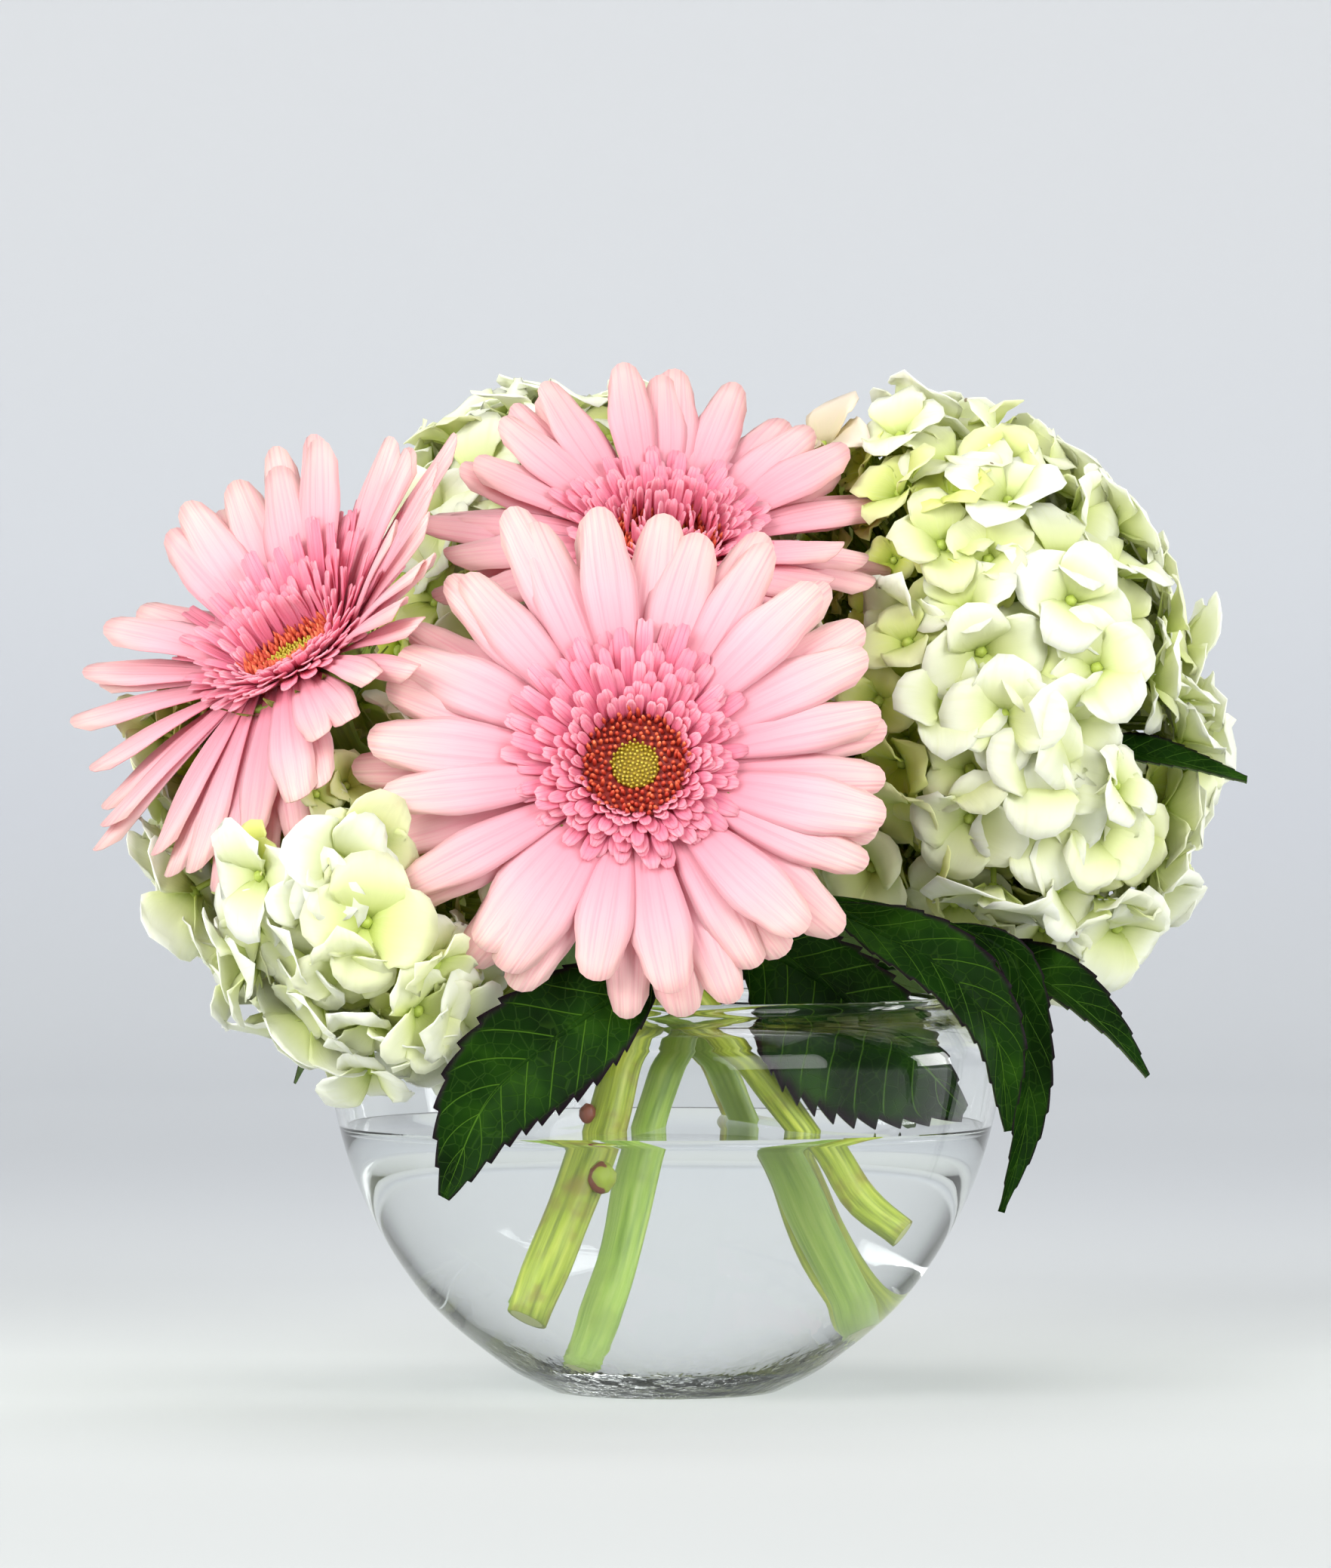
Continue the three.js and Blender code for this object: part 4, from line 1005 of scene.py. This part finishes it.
specks = times(tree, mask(tree, pricked.outputs["Distance"], 0.035, 0.06, 1.0, 0.0),
               mask(tree, spots.outputs["Patches"], 0.5, 0.56))
flecked = blend_colour(tree, times(tree, specks, 0.8), lined, (120, 92, 56))
tree.links.new(flecked, shader.inputs["Base Color"])
sepal_normal = relief(tree, shader, streaks, 0.25, 0.0005)
glow_through(sepal_skin, tree, shader, flecked, sepal_normal, 0.36)

bead_skin = bud_finish("floret_bead_skin", [
    (0.0, 120, 142, 40), (0.5, 170, 188, 80), (1.0, 204, 214, 120)], 0.45)
twig_skin = bud_finish("twig_skin", [
    (0.0, 104, 128, 40), (0.5, 150, 168, 66), (1.0, 190, 204, 110)], 0.6)

bloom_rooms = []
for name, bloom in GERBERAS.items():
    style = RAY_STYLE[name]
    facing = Vector(bloom["facing"]).normalized()
    rising = Vector(style["toward"])
    rising = (rising - facing * rising.dot(facing)).normalized()
    facing -= rising * math.tan(math.radians(style["lean"]))
    inverse = bloom_frame(bloom["centre"], facing).inverted()
    tuck = inverse.to_3x3() @ Vector(style["tuck"] or (0, 0, 0))
    bloom_rooms.append((inverse, bloom["reach"], tuck.xy.normalized()))


def hides_bloom(spot):
    """Whether a floret there would stand in front of a gerbera's rays."""
    for inverse, reach, tuck in bloom_rooms:
        local = inverse @ spot
        tucked = smooth(local.xy.normalized().dot(tuck), 0.1, 0.8)
        if local.xy.length < reach * (1 - 0.5 * tucked) + 3 and -3 < local.z < 48:
            return True
    return False


def floret(shape, local, roll, radius, tone, forms):
    """Four overlapping sepals set crosswise."""
    made = []
    for q, (long, broad, cup, ruffle, phase, skew, rise) in enumerate(forms):
        matrix = petal_place(local, roll + q * math.pi / 2 + skew, 0.5, 0.25 * (q % 2), rise)
        reach = radius * long
        form = sepal_form(reach, reach * broad, cup, ruffle, phase)
        made += strap(shape, 6, 5, tone, form, matrix)
    return made


def floret_bead(shape, local, size):
    """The green bead in a floret's middle, which takes the piece's second finish."""
    bead = bmesh.ops.create_icosphere(shape, subdivisions=1, radius=1.0)["verts"]
    along_mark = marks_of(shape)[1]
    for vert in bead:
        vert[along_mark] = (vert.co.z + 1) / 2
        vert.co = (local @ (vert.co * 1.5 * size + Vector((0, 0, 0.5)))) * MM
    for face in {f for v in bead for f in v.link_faces}:
        face.material_index = 1


heads_taken = list(taken.values())
for index, (name, head) in enumerate(HEADS.items()):
    rng = random.Random(500 + index)
    centre, size = Vector(head["centre"]), Vector(head["size"])
    lean = Euler(head["turn"]).to_matrix()
    lime_side, blush_side = Vector(head["lime"]), Vector(head["blush"])
    bulge_side, bulge = Vector(head["bulge"][:3]), head["bulge"][3]
    shape = petals()
    twigs = petals()
    for outer_layer, count in ((True, head["outer"]), (False, head["inner"])):
        for k in range(count):
            height = 1 - 2 * (k + 0.5) / count
            ring = math.sqrt(1 - height * height)
            turn = k * math.pi * GOLDEN + rng.uniform(-0.12, 0.12) + (0 if outer_layer else 1.3)
            sphere = Vector((ring * math.cos(turn), ring * math.sin(turn), height))
            outward = lean @ Vector(a / b for a, b in zip(sphere, size)).normalized()
            jitter = Vector(rng.uniform(-1, 1) for _ in range(3))
            facing = (outward + jitter * (0.62 if outer_layer else 0.45)).normalized()
            roll = rng.uniform(0, math.pi)
            patch = noise.noise(sphere * 2.6 + Vector((0, 0, 5 + index * 3)))
            tone = 0.3 + 0.42 * sphere.dot(lime_side) + 0.5 * patch + rng.uniform(-0.2, 0.25)
            tone = min(max(tone + (0 if outer_layer else 0.45), 0), 1)
            if outer_layer and sphere.dot(blush_side) > 0.8 and rng.random() < 0.6:
                tone = BLUSH_TONE
            if outer_layer:
                radius = (16 - 5.5 * max(tone, 0)) * rng.uniform(0.82, 1.1)
            else:
                radius = rng.uniform(7.5, 11)
            swell = 1 + 0.05 * noise.noise(sphere * 2.3 + Vector((index * 7, 0, 0)))
            swell += bulge * smooth(sphere.dot(bulge_side), 0.5, 1)
            depth = 1.5 + 3.5 * tone + rng.uniform(0, 3) if outer_layer else rng.uniform(9, 15)
            forms = [(rng.uniform(0.88, 1.08), rng.uniform(1.0, 1.22), rng.uniform(0.25, 0.8),
                      rng.uniform(0.3, 1.1), rng.uniform(0, 6), rng.uniform(-0.12, 0.12),
                      rng.uniform(-4, 22) + (9 if q % 2 else 0)) for q in range(4)]
            skin = centre + lean @ Vector(a * b for a, b in zip(sphere, size)) * swell
            if hides_bloom(skin - outward * depth):
                continue
            for shrink, deeper in ((1, 0), (0.9, -4), (0.8, 3), (0.62, 7)):
                spot = skin - outward * (depth + deeper)
                aimed = facing.to_track_quat("Z", "Y").to_matrix().to_4x4()
                local = Matrix.Translation(spot) @ aimed
                made = floret(shape, local, roll, radius * shrink, tone, forms)
                if clear_of(made, heads_taken):
                    floret_bead(shape, local, shrink)
                    root = centre + (spot - centre) * 0.55
                    bend = (spot - facing * 5 + root) / 2 - outward * 2
                    path = along_curve([root, bend, spot - facing * 0.4], 3)
                    tube(twigs, path, [1.0, 0.85, 0.75, 0.7], 5, tone)
                    break
                bmesh.ops.delete(shape, geom=made, context="VERTS")
    heads_taken.append(BVHTree.FromBMesh(shape))
    head_piece = make_piece(f"{name}_florets", shape, sepal_skin, bead_skin)
    add_thickness(head_piece, 0.3)
    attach(head_piece, "root")
    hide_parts(f"{name}_head")

    core = bmesh.ops.create_icosphere(twigs, subdivisions=4, radius=1.0)["verts"]
    along_mark = marks_of(twigs)[1]
    for vert in core:
        bumpy = 1 + 0.1 * noise.noise(vert.co * 6) + 0.05 * noise.noise(vert.co * 14)
        vert[along_mark] = 0.5 + noise.noise(vert.co * 9)
        offset = Vector(c * (s - CORE_DEPTH) for c, s in zip(vert.co, size))
        vert.co = (centre + lean @ offset * bumpy) * MM
    twig_piece = make_piece(f"{name}_twigs", twigs, twig_skin)
    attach(twig_piece, "root")
